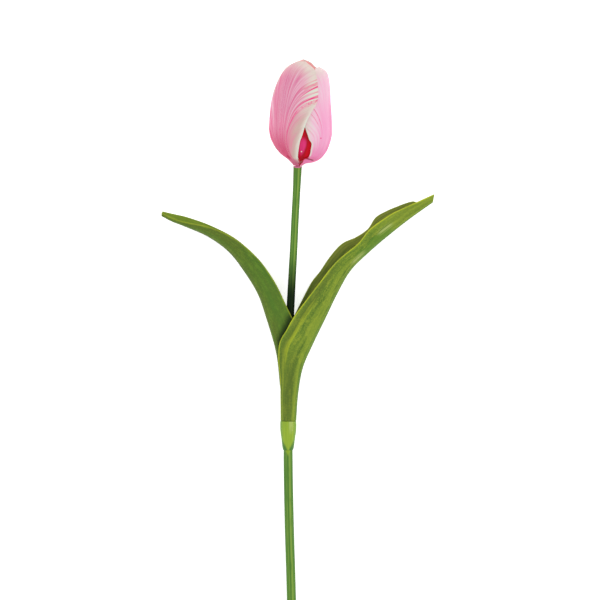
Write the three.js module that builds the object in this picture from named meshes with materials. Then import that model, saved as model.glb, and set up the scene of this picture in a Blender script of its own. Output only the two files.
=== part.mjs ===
// One cut tulip with its stem, two leaves and a closed bloom, lying on its back. Millimetres.
// +Y runs along the stem to the bloom, +X to the right of someone looking down on it, +Z up.
// z = 0 is the surface it lies on. The bloom's belly, both leaves and the cut end touch it.

import * as THREE from "three";

// Driving dimensions.
const CUT_END = -169.7; // where the stem is cut, along +Y
const CUT_END_HEIGHT = 2.4; // of the stem's middle line above the surface
const CUT_END_REST = 5; // length of the cut end that lies on the surface
const STEM_RADIUS_LOW = 2.63;
const STEM_RADIUS_SHEATHED = 2.35;
const STEM_RADIUS_HIGH = 2.2;
const STEM_RADIUS_TOP = 2.45; // where it meets the petals
const STEM_SIDES = 12;
const STEM_RINGS = 30;

const BLOOM_BASE = new THREE.Vector3(0, 109.4, 16.3);
const BLOOM_LEAN = 0.0524; // sideways run of the bloom's axis for each unit of its length
const STEM_SHOULDER = BLOOM_BASE.y - 0.46; // the petals' feet stand on it
const RECEPTACLE_RADIUS = 1.6; // of the stem's head, inside the bloom

const PETAL_THICK = 0.82;
const PETAL_THINNING = 0.2; // what a petal loses at its margins
const PETAL_LAP = 1.0; // how far one margin stands out, and the other in, of the bloom's form
const INNER_PETAL_SET_IN = 2.5;
const INNER_PETAL_SET_IN_AT_BASE = 1.3;
const INNER_PETAL_TIP = 52; // height in the bloom

const LEAF_THICK = 0.9;
const LEAF_THINNING = 0.25;

const COLLAR_BORE = 2.72;
const COLLAR_TOP = -36.42;
const COLLAR_LENGTH = 16.6;

const PISTIL_FOOT = 3; // heights in the bloom
const STIGMA_FOOT = 17.3;
const STAMEN_COUNT = 6;
const FILAMENT_TOP = 9;
const ANTHER_TOP = 19;

const UP = new THREE.Vector3(0, 0, 1);
const { clamp, degToRad, lerp, smoothstep } = THREE.MathUtils;

// A smooth run of values through [place, value] knots.
function through(knots) {
  const slope = (i) => {
    const before = knots[Math.max(i - 1, 0)];
    const after = knots[Math.min(i + 1, knots.length - 1)];
    return (after[1] - before[1]) / (after[0] - before[0]);
  };
  return (place) => {
    const p = clamp(place, knots[0][0], knots[knots.length - 1][0]);
    let i = 0;
    while (i < knots.length - 2 && p > knots[i + 1][0]) i += 1;
    const [p0, v0] = knots[i];
    const [p1, v1] = knots[i + 1];
    const span = p1 - p0;
    const t = (p - p0) / span;
    const rest = 1 - t;
    return (
      v0 * rest * rest * (1 + 2 * t) +
      v1 * t * t * (3 - 2 * t) +
      slope(i) * span * t * rest * rest -
      slope(i + 1) * span * t * t * rest
    );
  };
}

const column = (rows, n) => through(rows.map((row) => [row[0], row[n]]));

// A closed body from its corners, with the faces turned to point outwards.
function solidFrom(points, corners) {
  let volume = 0;
  for (let i = 0; i < corners.length; i += 3) {
    const [a, b, c] = [points[corners[i]], points[corners[i + 1]], points[corners[i + 2]]];
    volume += a.dot(b.clone().cross(c));
  }
  const geometry = new THREE.BufferGeometry().setFromPoints(points);
  geometry.setIndex(volume < 0 ? corners.toReversed() : corners);
  return geometry;
}

// A blade: a surface of (across, along), thickened half to each side, its underside kept
// off the floor. across runs from -1 to 1 and along from 0 to 1.
function blade(surface, thickness, acrossSteps, alongSteps) {
  const middle = (u, v) => {
    const point = surface(u, v);
    point.z = Math.max(point.z, thickness(u) / 2);
    return point;
  };
  const nudge = 1e-3;
  const faces = [[], []];
  for (let j = 0; j <= alongSteps; j += 1) {
    for (let i = 0; i <= acrossSteps; i += 1) {
      const u = (2 * i) / acrossSteps - 1;
      const v = j / alongSteps;
      const [u0, u1] = [Math.max(u - nudge, -1), Math.min(u + nudge, 1)];
      const [v0, v1] = [Math.max(v - nudge, 0), Math.min(v + nudge, 1)];
      const across = middle(u1, v).sub(middle(u0, v)).normalize();
      const along = middle(u, v1).sub(middle(u, v0)).normalize();
      const half = across.cross(along).setLength(thickness(u) / 2);
      for (const side of [1, -1]) {
        const point = middle(u, v).addScaledVector(half, side);
        point.z = Math.max(point.z, 0);
        faces[(1 - side) / 2].push(point);
      }
    }
  }
  const row = acrossSteps + 1;
  const count = row * (alongSteps + 1);
  const corners = [];
  const quad = (a, b, c, d) => corners.push(a, b, c, a, c, d);
  for (let j = 0; j < alongSteps; j += 1) {
    for (let i = 0; i < acrossSteps; i += 1) {
      const a = j * row + i;
      const b = a + count;
      corners.push(a, a + 1, a + row + 1, a, a + row + 1, a + row);
      corners.push(b, b + row + 1, b + 1, b, b + row, b + row + 1);
    }
    const [low, high] = [j * row, (j + 1) * row];
    quad(low, high, high + count, low + count);
    quad(low + acrossSteps, low + acrossSteps + count, high + acrossSteps + count, high + acrossSteps);
  }
  for (let i = 0; i < acrossSteps; i += 1) {
    const top = alongSteps * row + i;
    quad(i, i + count, i + 1 + count, i + 1);
    quad(top, top + 1, top + 1 + count, top + count);
  }
  return solidFrom(faces.flat(), corners);
}

// A round body with a ring at each place along its middle line, closed by flat ends.
function roundBody(middle, radius, places, sides, section = () => 1) {
  const points = [];
  const corners = [];
  places.forEach((place, j) => {
    const ahead = middle(place + 0.1).sub(middle(place - 0.1)).normalize();
    const side = ahead.clone().cross(UP).normalize();
    const over = side.clone().cross(ahead);
    for (let i = 0; i < sides; i += 1) {
      const turn = ((i + 0.5) / sides) * 2 * Math.PI;
      const reach = radius(place) * section(turn);
      const point = middle(place)
        .addScaledVector(side, reach * Math.cos(turn))
        .addScaledVector(over, reach * Math.sin(turn));
      point.z = Math.max(point.z, 0);
      points.push(point);
      if (j === 0) continue;
      const next = (i + 1) % sides;
      const [low, high] = [(j - 1) * sides, j * sides];
      corners.push(low + i, low + next, high + next, low + i, high + next, high + i);
    }
  });
  const top = (places.length - 1) * sides;
  for (let i = 1; i < sides - 1; i += 1) {
    corners.push(0, i + 1, i);
    corners.push(top, top + i, top + i + 1);
  }
  return solidFrom(points, corners);
}

const steps = (from, to, count) =>
  Array.from({ length: count + 1 }, (_, i) => lerp(from, to, i / count));

const flower = new THREE.Group();

function add(name, geometry, colour, roughness) {
  const material = new THREE.MeshStandardMaterial({ color: colour, roughness, metalness: 0 });
  const mesh = new THREE.Mesh(geometry, material);
  mesh.name = name;
  flower.add(mesh);
  return mesh;
}

// Stem. It is nearly straight and climbs from the cut end to the bloom.

const stemPitch = (BLOOM_BASE.z - CUT_END_HEIGHT) / (BLOOM_BASE.y - CUT_END);
const stemSide = through([
  [CUT_END, -2.75],
  [-132.7, -3.62],
  [-92, -4.8],
  [-60, -5.34],
  [-36, -5.27],
  [-12, -5.1],
  [8, -4.72],
  [23, -4.25],
  [34, -3.72],
  [45, -3.14],
  [62, -2.2],
  [79, -1.41],
  [96.5, -0.46],
  [BLOOM_BASE.y, 0.1],
  [BLOOM_BASE.y + 10, 0.1 + 10 * BLOOM_LEAN],
]);
const stemMiddle = (y) =>
  new THREE.Vector3(stemSide(y), y, BLOOM_BASE.z + stemPitch * (y - BLOOM_BASE.y));

const shaftRadius = through([
  [CUT_END, STEM_RADIUS_LOW],
  [-57, STEM_RADIUS_LOW],
  [-50, STEM_RADIUS_LOW - 0.13],
  [-42, STEM_RADIUS_SHEATHED],
  [10, STEM_RADIUS_SHEATHED],
  [50, STEM_RADIUS_HIGH],
  [96, STEM_RADIUS_HIGH],
  [102, (STEM_RADIUS_HIGH + STEM_RADIUS_TOP) / 2],
  [STEM_SHOULDER, STEM_RADIUS_TOP],
]);
const headRadius = through([
  [0, RECEPTACLE_RADIUS - 0.3],
  [0.4, RECEPTACLE_RADIUS - 0.3],
  [1.3, RECEPTACLE_RADIUS],
  [2.8, RECEPTACLE_RADIUS],
  [3.0, RECEPTACLE_RADIUS - 0.2],
]);
const stemRadius = (y) => (y > STEM_SHOULDER ? headRadius(y - STEM_SHOULDER) : shaftRadius(y));
const stemPlaces = [
  CUT_END,
  ...steps(CUT_END + CUT_END_REST, STEM_SHOULDER, STEM_RINGS),
  ...[0.01, 0.4, 1.3, 2.8, 3.0].map((rise) => STEM_SHOULDER + rise),
];
add("stem", roundBody(stemMiddle, stemRadius, stemPlaces, STEM_SIDES), 0x4f8a35, 0.45);

// Collar: the pale foot from which both leaves' sheath rises, tapering down onto the stem.

const collarSection = [
  [COLLAR_BORE, 0],
  [COLLAR_BORE, COLLAR_LENGTH],
  [3.35, COLLAR_LENGTH],
  [3.45, 14],
  [3.68, 11.7],
  [4.1, 8.3],
  [4.55, 4.8],
  [4.6, 1.5],
  [4.5, 0],
  [COLLAR_BORE, 0],
].map(([radius, down]) => new THREE.Vector2(radius, -down));
const collar = add("sheath_collar", new THREE.LatheGeometry(collarSection, 16), 0x9db83c, 0.45);
collar.position.copy(stemMiddle(COLLAR_TOP));
collar.quaternion.setFromUnitVectors(
  new THREE.Vector3(0, 1, 0),
  stemMiddle(COLLAR_TOP).sub(stemMiddle(COLLAR_TOP - COLLAR_LENGTH)).normalize(),
);

// Leaves. Each is a gutter whose keel lies outwards. Low down it wraps the stem as a sheath,
// and further up it opens: its front half arches over and its back half goes down to the floor.
// keel rows: part of the leaf's length, X, Y of the keel's outer face.
// form rows: part of the length, keel height, wrap of each half in degrees, depth of each half,
// and the widths from the keel to the front and the back margin as seen from above.
// slant: how far the margins run on past the keel at the tip.

function leaf(name, side, keelRows, formRows, slant, colour) {
  const keelX = column(keelRows, 1);
  const keelY = column(keelRows, 2);
  const [height, wrap, depth, front, back] = [1, 2, 3, 4, 5].map((n) => column(formRows, n));
  const thickness = (u) => LEAF_THICK - LEAF_THINNING * Math.abs(u) ** 3;
  const surface = (u, v) => {
    const [v0, v1] = [Math.max(v - 0.01, 0), Math.min(v + 0.01, 1)];
    // The foot is cut square to the stem.
    const square = 1 - smoothstep(v, 0, 0.06);
    const ahead = new THREE.Vector2(keelX(v1) - keelX(v0), keelY(v1) - keelY(v0))
      .normalize()
      .lerp(new THREE.Vector2(0, 1), square)
      .normalize();
    const inward = new THREE.Vector2(-side * ahead.y, side * ahead.x);
    const whole = degToRad(wrap(v));
    const turn = whole * Math.abs(u);
    const width = u > 0 ? front(v) : back(v);
    const reach = LEAF_THICK / 2 + (width * (1 - Math.cos(turn))) / (1 - Math.cos(whole));
    const rise = Math.sign(u) * depth(v) * Math.sin(turn);
    const forward = slant * Math.abs(u) ** 1.5 * smoothstep(v, 0.9, 1) - stemPitch * rise * square;
    return new THREE.Vector3(
      keelX(v) + inward.x * reach + ahead.x * forward,
      keelY(v) + inward.y * reach + ahead.y * forward,
      height(v) + rise,
    );
  };
  return add(name, blade(surface, thickness, 12, 34), colour, 0.42);
}

leaf(
  "leaf_right",
  1,
  [
    [0, -0.7, -36.3],
    [0.1, 0.4, -20.9],
    [0.2, 3.1, -5.8],
    [0.3, 9.1, 8.3],
    [0.4, 15.8, 22.1],
    [0.5, 22.55, 36.1],
    [0.6, 30.2, 49.4],
    [0.7, 41.0, 60.2],
    [0.8, 52.7, 70.2],
    [0.9, 64.8, 79.65],
    [1, 77.5, 88.6],
  ],
  [
    [0, 9.1, 168, 4.2, 8.2, 8.2],
    [0.08, 9.7, 160, 4.6, 9.2, 9.1],
    [0.15, 10.3, 145, 5.0, 11.0, 10.8],
    [0.2, 10.7, 130, 5.6, 13.6, 13.2],
    [0.25, 11.0, 116, 6.6, 16.2, 15.8],
    [0.3, 11.0, 108, 7.3, 16.3, 16.6],
    [0.35, 10.4, 98, 7.4, 16.1, 16.2],
    [0.4, 9.8, 92, 7.3, 14.9, 16.1],
    [0.5, 8.4, 90, 7.0, 11.6, 14.9],
    [0.55, 7.6, 90, 6.95, 10.3, 13.4],
    [0.6, 7.0, 90, 6.9, 8.9, 13.1],
    [0.65, 6.7, 90, 6.8, 7.7, 13.1],
    [0.7, 6.5, 90, 6.5, 7.5, 10.5],
    [0.75, 6.5, 90, 6.1, 9.0, 9.4],
    [0.8, 6.6, 90, 5.4, 8.8, 12.1],
    [0.85, 6.8, 90, 4.6, 8.1, 10.9],
    [0.89, 7.05, 90, 3.8, 6.8, 9.2],
    [0.91, 7.15, 90, 3.4, 6.2, 8.3],
    [0.935, 7.3, 90, 2.9, 5.2, 6.5],
    [0.944, 7.35, 90, 2.7, 4.8, 4.6],
    [1, 7.7, 90, 1.5, 2.9, 2.9],
  ],
  3.2,
  0x6f9440,
);

leaf(
  "leaf_left",
  -1,
  [
    [0, -8.85, -36.3],
    [0.1, -9.4, -21.6],
    [0.15, -10.2, -14.2],
    [0.2, -10.85, -6.8],
    [0.25, -11.75, 0.5],
    [0.3, -13.3, 7.7],
    [0.4, -17.6, 21.9],
    [0.5, -22.45, 35.8],
    [0.6, -30.1, 48.5],
    [0.7, -39.25, 60.2],
    [0.8, -51.1, 68.85],
    [0.9, -64.6, 74.8],
    [0.96, -72.3, 77.8],
    [1, -77.4, 80.3],
  ],
  [
    [0, 9.1, 170, 3.15, 6.2, 6.2],
    [0.1, 9.85, 167, 3.35, 7.4, 7.4],
    [0.15, 10.2, 164, 3.6, 9.0, 9.0],
    [0.2, 10.6, 160, 3.78, 10.8, 10.8],
    [0.25, 11.0, 150, 4.1, 13.0, 13.0],
    [0.3, 11.1, 132, 4.75, 14.8, 14.4],
    [0.35, 10.8, 115, 5.4, 14.3, 13.8],
    [0.4, 10.2, 100, 6.0, 13.1, 12.6],
    [0.45, 9.5, 92, 6.3, 12.1, 11.6],
    [0.5, 8.8, 90, 6.4, 11.4, 10.8],
    [0.6, 7.2, 90, 6.5, 10.5, 9.7],
    [0.65, 6.6, 90, 6.4, 9.3, 9.0],
    [0.7, 6.3, 90, 6.2, 7.8, 8.0],
    [0.8, 6.3, 90, 5.0, 5.5, 5.9],
    [0.9, 6.8, 90, 3.1, 2.6, 4.8],
    [0.96, 7.15, 90, 1.9, 1.9, 3.4],
    [1, 7.4, 90, 1.0, 1.3, 1.5],
  ],
  0.6,
  0x5f7f35,
);

// Bloom. A point in it is given by its angle round the axis, its distance from the axis and its
// height from the base. Angle 0 is the right side, 90 the front, which looks up, 270 the back.

const bloomAhead = new THREE.Vector3(BLOOM_LEAN, 1, stemPitch).normalize();
const bloomRight = bloomAhead.clone().cross(UP).normalize();
const bloomFront = bloomRight.clone().cross(bloomAhead);

function inBloom(angle, radius, height) {
  return BLOOM_BASE.clone()
    .addScaledVector(bloomAhead, height)
    .addScaledVector(bloomRight, radius * Math.cos(degToRad(angle)))
    .addScaledVector(bloomFront, radius * Math.sin(degToRad(angle)));
}

// The closed bloom's outer form: its radius at each height, on the left and on the right side.
const formLeft = through([
  [-0.3, 2.3],
  [0.4, 2.75],
  [1.14, 3.45],
  [2.85, 5.4],
  [4.6, 8.0],
  [6.3, 10.2],
  [8, 11.9],
  [9.7, 13.5],
  [11.4, 14.85],
  [13.1, 15.95],
  [14.8, 16.75],
  [18.2, 17.6],
  [20, 17.85],
  [26.8, 17.9],
  [33.6, 17.6],
  [37, 17.2],
  [40.5, 16.6],
  [43, 16.0],
  [48.5, 14.1],
  [50.7, 13.1],
  [53, 11.8],
  [55.3, 9.8],
  [57.6, 6.9],
  [59.2, 4.3],
  [60.1, 2.4],
  [60.6, 0.6],
]);
const formRight = through([
  [-0.3, 2.65],
  [0.4, 3.3],
  [1.1, 4.3],
  [1.5, 5.9],
  [1.9, 8.0],
  [2.85, 10.5],
  [4.56, 13.0],
  [6.27, 14.4],
  [8, 15.5],
  [9.7, 16.35],
  [11.4, 17.0],
  [14.8, 17.9],
  [18.2, 18.4],
  [20, 18.35],
  [26.8, 17.85],
  [33.6, 17.1],
  [37, 16.65],
  [43, 16.15],
  [48.5, 15.3],
  [50.7, 14.75],
  [52.4, 14.2],
  [54.2, 13.2],
  [55, 12.3],
  [56, 10.6],
  [57.6, 7.4],
  [59, 5.2],
  [60.1, 2.4],
  [60.6, 0.6],
]);

function formRadius(angle, height) {
  const share = (1 - Math.cos(degToRad(angle))) / 2;
  return share * formLeft(height) + (1 - share) * formRight(height);
}

// A point set in from the bloom's form, square to it.
function setIn(angle, height, depth) {
  const nudge = 0.05;
  const slope = (formRadius(angle, height + nudge) - formRadius(angle, height - nudge)) / (2 * nudge);
  const length = Math.hypot(1, slope);
  return inBloom(
    angle,
    formRadius(angle, height) - depth / length,
    height + (depth * slope) / length,
  );
}

// Rows are closest at the petal's base and tip, where it bends most.
const rowPlace = (v) => v - (0.6 * Math.sin(2 * Math.PI * v)) / (2 * Math.PI);
const petalThickness = (u) => PETAL_THICK - PETAL_THINNING * u ** 4;

// margins rows: height, angle of the margin that laps over, angle of the margin lapped over.
function petal(name, margins, lapAt, setInAt, grid, colour) {
  const [base, tip] = [margins[0][0], margins[margins.length - 1][0]];
  const over = column(margins, 1);
  const under = column(margins, 2);
  const surface = (u, v) => {
    const height = lerp(base, tip, rowPlace(v));
    const angle = lerp(over(height), under(height), (u + 1) / 2);
    return setIn(angle, height, PETAL_THICK / 2 + setInAt(height) + u * lapAt(height, tip));
  };
  return add(name, blade(surface, petalThickness, ...grid), colour, 0.5);
}

const outerLap = (height, tip) =>
  PETAL_LAP * smoothstep(height, 1, 9) * (1 - 0.7 * smoothstep(height, tip - 5, tip));

const OUTER_PETALS = {
  left: {
    margins: [
      [-0.3, 64, 196],
      [0.5, 66, 197],
      [1.3, 71.5, 198],
      [2, 77.5, 199],
      [3.5, 86, 200],
      [4.6, 89.5, 201],
      [6.9, 90, 204],
      [11, 88.9, 208],
      [14.8, 87.3, 210],
      [17.1, 85, 211],
      [20, 82.7, 212],
      [22.2, 81.2, 212],
      [24.9, 78.9, 212],
      [28.5, 73.8, 212],
      [31.6, 66.8, 212],
      [34.8, 60.6, 212],
      [38.3, 59, 212],
      [44.1, 58.6, 212],
      [48.1, 60, 212],
      [50.4, 61.3, 212],
      [54.6, 64, 208],
      [56.6, 65.5, 203],
      [58.8, 75, 178],
      [59.8, 92, 128],
    ],
    colour: 0xe08bb0,
  },
  right: {
    margins: [
      [-0.3, -38, 60],
      [0.5, -38, 62],
      [1.48, -39, 64.5],
      [2, -39, 68.5],
      [3.2, -40, 70.5],
      [3.53, -40, 69.5],
      [4, -40, 59.5],
      [5.3, -41, 57.6],
      [6.55, -41, 57.5],
      [9.5, -42, 60.1],
      [12.5, -43, 61.8],
      [13.45, -43, 63.5],
      [14, -43, 65.3],
      [15.1, -43, 68.8],
      [17.8, -44, 73],
      [20.5, -44, 76.9],
      [22.5, -44, 79.5],
      [26, -44, 84],
      [30, -44, 88],
      [40, -43, 90],
      [48, -37, 84],
      [52, -28, 75],
      [54.5, -18, 60],
      [55.8, -6, 47],
      [56.7, 8, 34],
    ],
    colour: 0xeeb6cc,
  },
  back: {
    margins: [
      [-0.3, 202, 312],
      [4, 203, 314],
      [8, 203, 316],
      [20, 204, 326],
      [35, 205, 332],
      [43, 207, 332],
      [48, 208, 333],
      [52, 210, 338],
      [54.5, 212, 345],
      [56, 216, 346],
      [57.6, 223, 345],
      [58.9, 238, 340],
      [59.7, 252, 320],
      [60.3, 266, 296],
    ],
    colour: 0xe6a0b4,
  },
};
for (const [side, { margins, colour }] of Object.entries(OUTER_PETALS)) {
  petal(`petal_outer_${side}`, margins, outerLap, () => 0, [10, 26], colour);
}

// Inner petals stand behind the gaps of the outer ones, with narrow feet.
const innerHalfWidth = through([
  [0.5, 18],
  [3, 26],
  [6, 38],
  [14, 49],
  [30, 52],
  [42, 46],
  [48, 32],
  [51, 16],
  [INNER_PETAL_TIP, 7],
]);
const innerSetIn = (height) =>
  lerp(
    INNER_PETAL_SET_IN_AT_BASE,
    INNER_PETAL_SET_IN,
    smoothstep(height, 1, 8),
  );
const INNER_PETALS = {
  front: { base: 0.6, middle: 82, colour: 0xc23a5c },
  left: { base: 2.2, middle: 208, colour: 0xd9718f },
  right: { base: 0.5, middle: 322, colour: 0xd9718f },
};
for (const [side, { base, middle, colour }] of Object.entries(INNER_PETALS)) {
  const margins = steps(base, INNER_PETAL_TIP, 12).map((height) => [
    height,
    middle - innerHalfWidth(height),
    middle + innerHalfWidth(height),
  ]);
  petal(`petal_inner_${side}`, margins, () => 0, innerSetIn, [8, 14], colour);
}

// Pistil: a three-sided ovary with a three-lobed stigma on it.

const threeLobed = (depth) => (turn) => 1 + depth * Math.cos(3 * turn);
const ovaryRadius = through([
  [PISTIL_FOOT, 1.1],
  [5, 1.7],
  [10, 2.4],
  [15, 2.1],
  [STIGMA_FOOT - 0.3, 1.7],
]);
const onAxis = (height) => inBloom(0, 0, height);
add(
  "pistil_ovary",
  roundBody(onAxis, ovaryRadius, steps(PISTIL_FOOT, STIGMA_FOOT - 0.3, 5), 9, threeLobed(0.12)),
  0x9fb35a,
  0.5,
);
const stigmaRadius = through([
  [0, 1.6],
  [1.2, 2.7],
  [2.4, 2.9],
  [3.2, 2.0],
]);
add(
  "pistil_stigma",
  roundBody(
    (rise) => onAxis(STIGMA_FOOT + rise),
    stigmaRadius,
    [0, 1.2, 2.4, 3.2],
    12,
    threeLobed(0.3),
  ),
  0xd9cf86,
  0.6,
);

// Stamens in a ring round the pistil.

const filamentLean = through([
  [PISTIL_FOOT, 2.15],
  [FILAMENT_TOP, 4.6],
  [ANTHER_TOP, 5.6],
]);
const filamentRadius = through([
  [PISTIL_FOOT, 0.45],
  [FILAMENT_TOP, 0.35],
]);
const antherRadius = through([
  [FILAMENT_TOP, 0.6],
  [11, 1.05],
  [16, 0.95],
  [ANTHER_TOP, 0.4],
]);
for (let n = 0; n < STAMEN_COUNT; n += 1) {
  const angle = (360 / STAMEN_COUNT) * (n + 0.5);
  const middle = (height) => inBloom(angle, filamentLean(height), height);
  const filament = roundBody(middle, filamentRadius, [PISTIL_FOOT, 5, FILAMENT_TOP], 6);
  add(`stamen_filament_${n + 1}`, filament, 0xc9cf9a, 0.5);
  const anther = roundBody(middle, antherRadius, [FILAMENT_TOP + 0.3, 11, 16, ANTHER_TOP], 6);
  add(`stamen_anther_${n + 1}`, anther, 0x3d2f3f, 0.8);
}

export default flower;
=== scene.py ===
"""The finished look of a cut tulip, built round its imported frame.

Lengths in the tables and formulas are millimetres. +Y runs along the stem to the bloom, +Z is up,
and z = 0 is the surface the flower lies on.
"""

import bmesh
import bpy
import numpy as np
from bpy.props import FloatProperty, FloatVectorProperty, PointerProperty
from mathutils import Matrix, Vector


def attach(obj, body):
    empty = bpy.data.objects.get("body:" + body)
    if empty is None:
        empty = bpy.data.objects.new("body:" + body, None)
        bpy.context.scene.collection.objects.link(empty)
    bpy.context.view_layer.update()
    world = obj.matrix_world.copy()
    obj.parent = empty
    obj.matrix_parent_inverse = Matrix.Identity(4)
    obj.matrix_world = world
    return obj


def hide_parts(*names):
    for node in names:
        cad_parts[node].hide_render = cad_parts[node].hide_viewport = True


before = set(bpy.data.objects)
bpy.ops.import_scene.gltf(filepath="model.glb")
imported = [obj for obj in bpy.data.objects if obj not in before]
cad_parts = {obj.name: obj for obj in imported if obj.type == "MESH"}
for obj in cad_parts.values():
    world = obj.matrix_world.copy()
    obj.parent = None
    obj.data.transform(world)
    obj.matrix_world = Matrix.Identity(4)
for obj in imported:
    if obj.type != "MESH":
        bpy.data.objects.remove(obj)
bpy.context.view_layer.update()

bl_info = {
    "name": "Cut tulip stem",
    "version": (1, 0, 0),
    "blender": (4, 5, 0),
    "location": "3D View > Sidebar > Tulip",
    "description": "A cut tulip with its stem, sheath collar, two leaves and closed bloom",
    "category": "Add Mesh",
}

MM = 0.001
UP = np.array([0.0, 0.0, 1.0])
WHITE = (1.0, 1.0, 1.0)
BLACK = (0.0, 0.0, 0.0)

# Stem.
CUT_END = -169.7
CUT_END_HEIGHT = 2.4
BLOOM_BASE = np.array([0.0, 109.4, 16.3])
BLOOM_LEAN = 0.0524
STEM_SHOULDER = BLOOM_BASE[1] - 0.46
STEM_PITCH = (BLOOM_BASE[2] - CUT_END_HEIGHT) / (BLOOM_BASE[1] - CUT_END)
STEM_SIDES = 48
STEM_RING_GAP = 0.8
STEM_RIBS = 11
RECEPTACLE_RISE = 3.0

STEM_LINE = [
    (CUT_END, -2.75),
    (-132.7, -3.62),
    (-92, -4.8),
    (-60, -5.34),
    (-36, -5.27),
    (-12, -5.1),
    (8, -4.72),
    (23, -4.25),
    (34, -3.72),
    (45, -3.14),
    (62, -2.2),
    (79, -1.41),
    (96.5, -0.46),
    (BLOOM_BASE[1], 0.1),
    (BLOOM_BASE[1] + 10, 0.1 + 10 * BLOOM_LEAN),
]

# Collar.
COLLAR_TOP = -36.42
COLLAR_BORE = 2.7
COLLAR_SIDES = 96
COLLAR_OUTLINE = [
    (0.02, 4.4),
    (0.1, 4.5),
    (1.5, 4.58),
    (3.1, 4.6),
    (4.8, 4.56),
    (6.6, 4.38),
    (8.3, 4.12),
    (10, 3.9),
    (11.7, 3.68),
    (13.4, 3.5),
    (15.1, 3.24),
    (16.3, 2.93),
    (16.6, 2.78),
]

COLLAR_FOOT = COLLAR_TOP - COLLAR_OUTLINE[-1][0]

# Leaves. Keel rows: part of the length, X and Y of the keel's outer face. Form rows: part of the
# length, keel height, wrap of each half in degrees, depth of each half, and the widths from the
# keel to the front and the back margin.
LEAF_THINNING = 0.25
LEAF_COLUMNS = 84
LEAF_ROWS = 260
LEAF_RIBS = 8
LEAF_FOOT_ROUNDING = 0.12
LEAF_SQUARE_FOOT = 0.06
LEAF_SLANT = {"right": 3.2, "left": 0.6}
MARGIN_WAVES = (7, 13, 22)
KEEL_RIDGE = 0.12
KEEL_RIDGE_WIDTH = 0.04

RIGHT_LEAF_KEEL = [
    (0, -0.7, -36.3),
    (0.1, 0.4, -20.9),
    (0.2, 3.1, -5.8),
    (0.3, 9.1, 8.3),
    (0.4, 15.8, 22.1),
    (0.5, 22.55, 36.1),
    (0.6, 30.2, 49.4),
    (0.7, 41.0, 60.2),
    (0.8, 52.7, 70.2),
    (0.9, 64.8, 79.65),
    (1, 77.5, 88.6),
]
RIGHT_LEAF_FORM = [
    (0, 9.1, 168, 4.2, 8.2, 8.2),
    (0.08, 9.7, 160, 4.6, 9.2, 9.1),
    (0.15, 10.3, 145, 5.0, 11.0, 10.8),
    (0.2, 10.7, 130, 5.6, 14.1, 13.4),
    (0.25, 11.0, 116, 6.6, 17.1, 15.9),
    (0.3, 11.0, 108, 7.3, 16.6, 16.6),
    (0.35, 10.4, 98, 7.4, 16.1, 16.2),
    (0.4, 9.8, 92, 7.3, 14.9, 16.1),
    (0.5, 8.4, 90, 7.0, 11.6, 15.5),
    (0.55, 7.6, 90, 6.95, 10.3, 14.0),
    (0.6, 7.0, 90, 6.9, 8.9, 13.7),
    (0.65, 6.7, 90, 6.8, 7.7, 13.5),
    (0.7, 6.5, 90, 6.5, 7.5, 10.9),
    (0.75, 6.5, 90, 6.1, 9.0, 9.9),
    (0.8, 6.6, 90, 5.4, 8.8, 12.1),
    (0.85, 6.8, 90, 4.6, 8.1, 10.9),
    (0.89, 7.05, 90, 3.8, 6.8, 9.2),
    (0.91, 7.15, 90, 3.4, 6.2, 8.3),
    (0.935, 7.3, 90, 2.9, 5.2, 6.5),
    (0.944, 7.35, 90, 2.7, 4.8, 4.6),
    (1, 7.7, 90, 1.5, 2.9, 2.9),
]
LEFT_LEAF_KEEL = [
    (0, -8.85, -36.3),
    (0.1, -9.4, -21.6),
    (0.15, -10.2, -14.2),
    (0.2, -10.85, -6.8),
    (0.25, -11.75, 0.5),
    (0.3, -13.3, 7.7),
    (0.4, -17.6, 21.9),
    (0.5, -22.45, 35.8),
    (0.6, -30.1, 48.5),
    (0.7, -39.25, 60.2),
    (0.8, -51.1, 68.85),
    (0.9, -64.6, 74.8),
    (0.96, -72.3, 77.8),
    (1, -77.9, 80.8),
]
LEFT_LEAF_FORM = [
    (0, 9.1, 170, 3.15, 6.2, 6.2),
    (0.1, 9.85, 167, 3.35, 7.4, 7.4),
    (0.15, 10.2, 164, 3.6, 9.0, 9.0),
    (0.2, 10.6, 160, 3.78, 10.8, 10.8),
    (0.25, 11.0, 150, 4.1, 13.0, 13.0),
    (0.3, 11.1, 132, 4.75, 14.8, 14.4),
    (0.35, 10.8, 115, 5.4, 14.3, 13.8),
    (0.4, 10.2, 100, 6.0, 13.1, 12.6),
    (0.45, 9.5, 92, 6.3, 12.1, 11.6),
    (0.5, 8.8, 90, 6.4, 11.4, 10.8),
    (0.6, 7.2, 90, 6.5, 10.5, 9.7),
    (0.65, 6.6, 90, 6.4, 9.3, 9.0),
    (0.7, 6.3, 90, 6.2, 7.8, 8.0),
    (0.8, 6.3, 90, 5.0, 5.1, 6.0),
    (0.9, 6.8, 90, 3.1, 2.1, 5.0),
    (0.96, 7.15, 90, 1.9, 1.5, 3.8),
    (1, 7.4, 90, 1.0, 1.2, 2.1),
]

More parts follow.
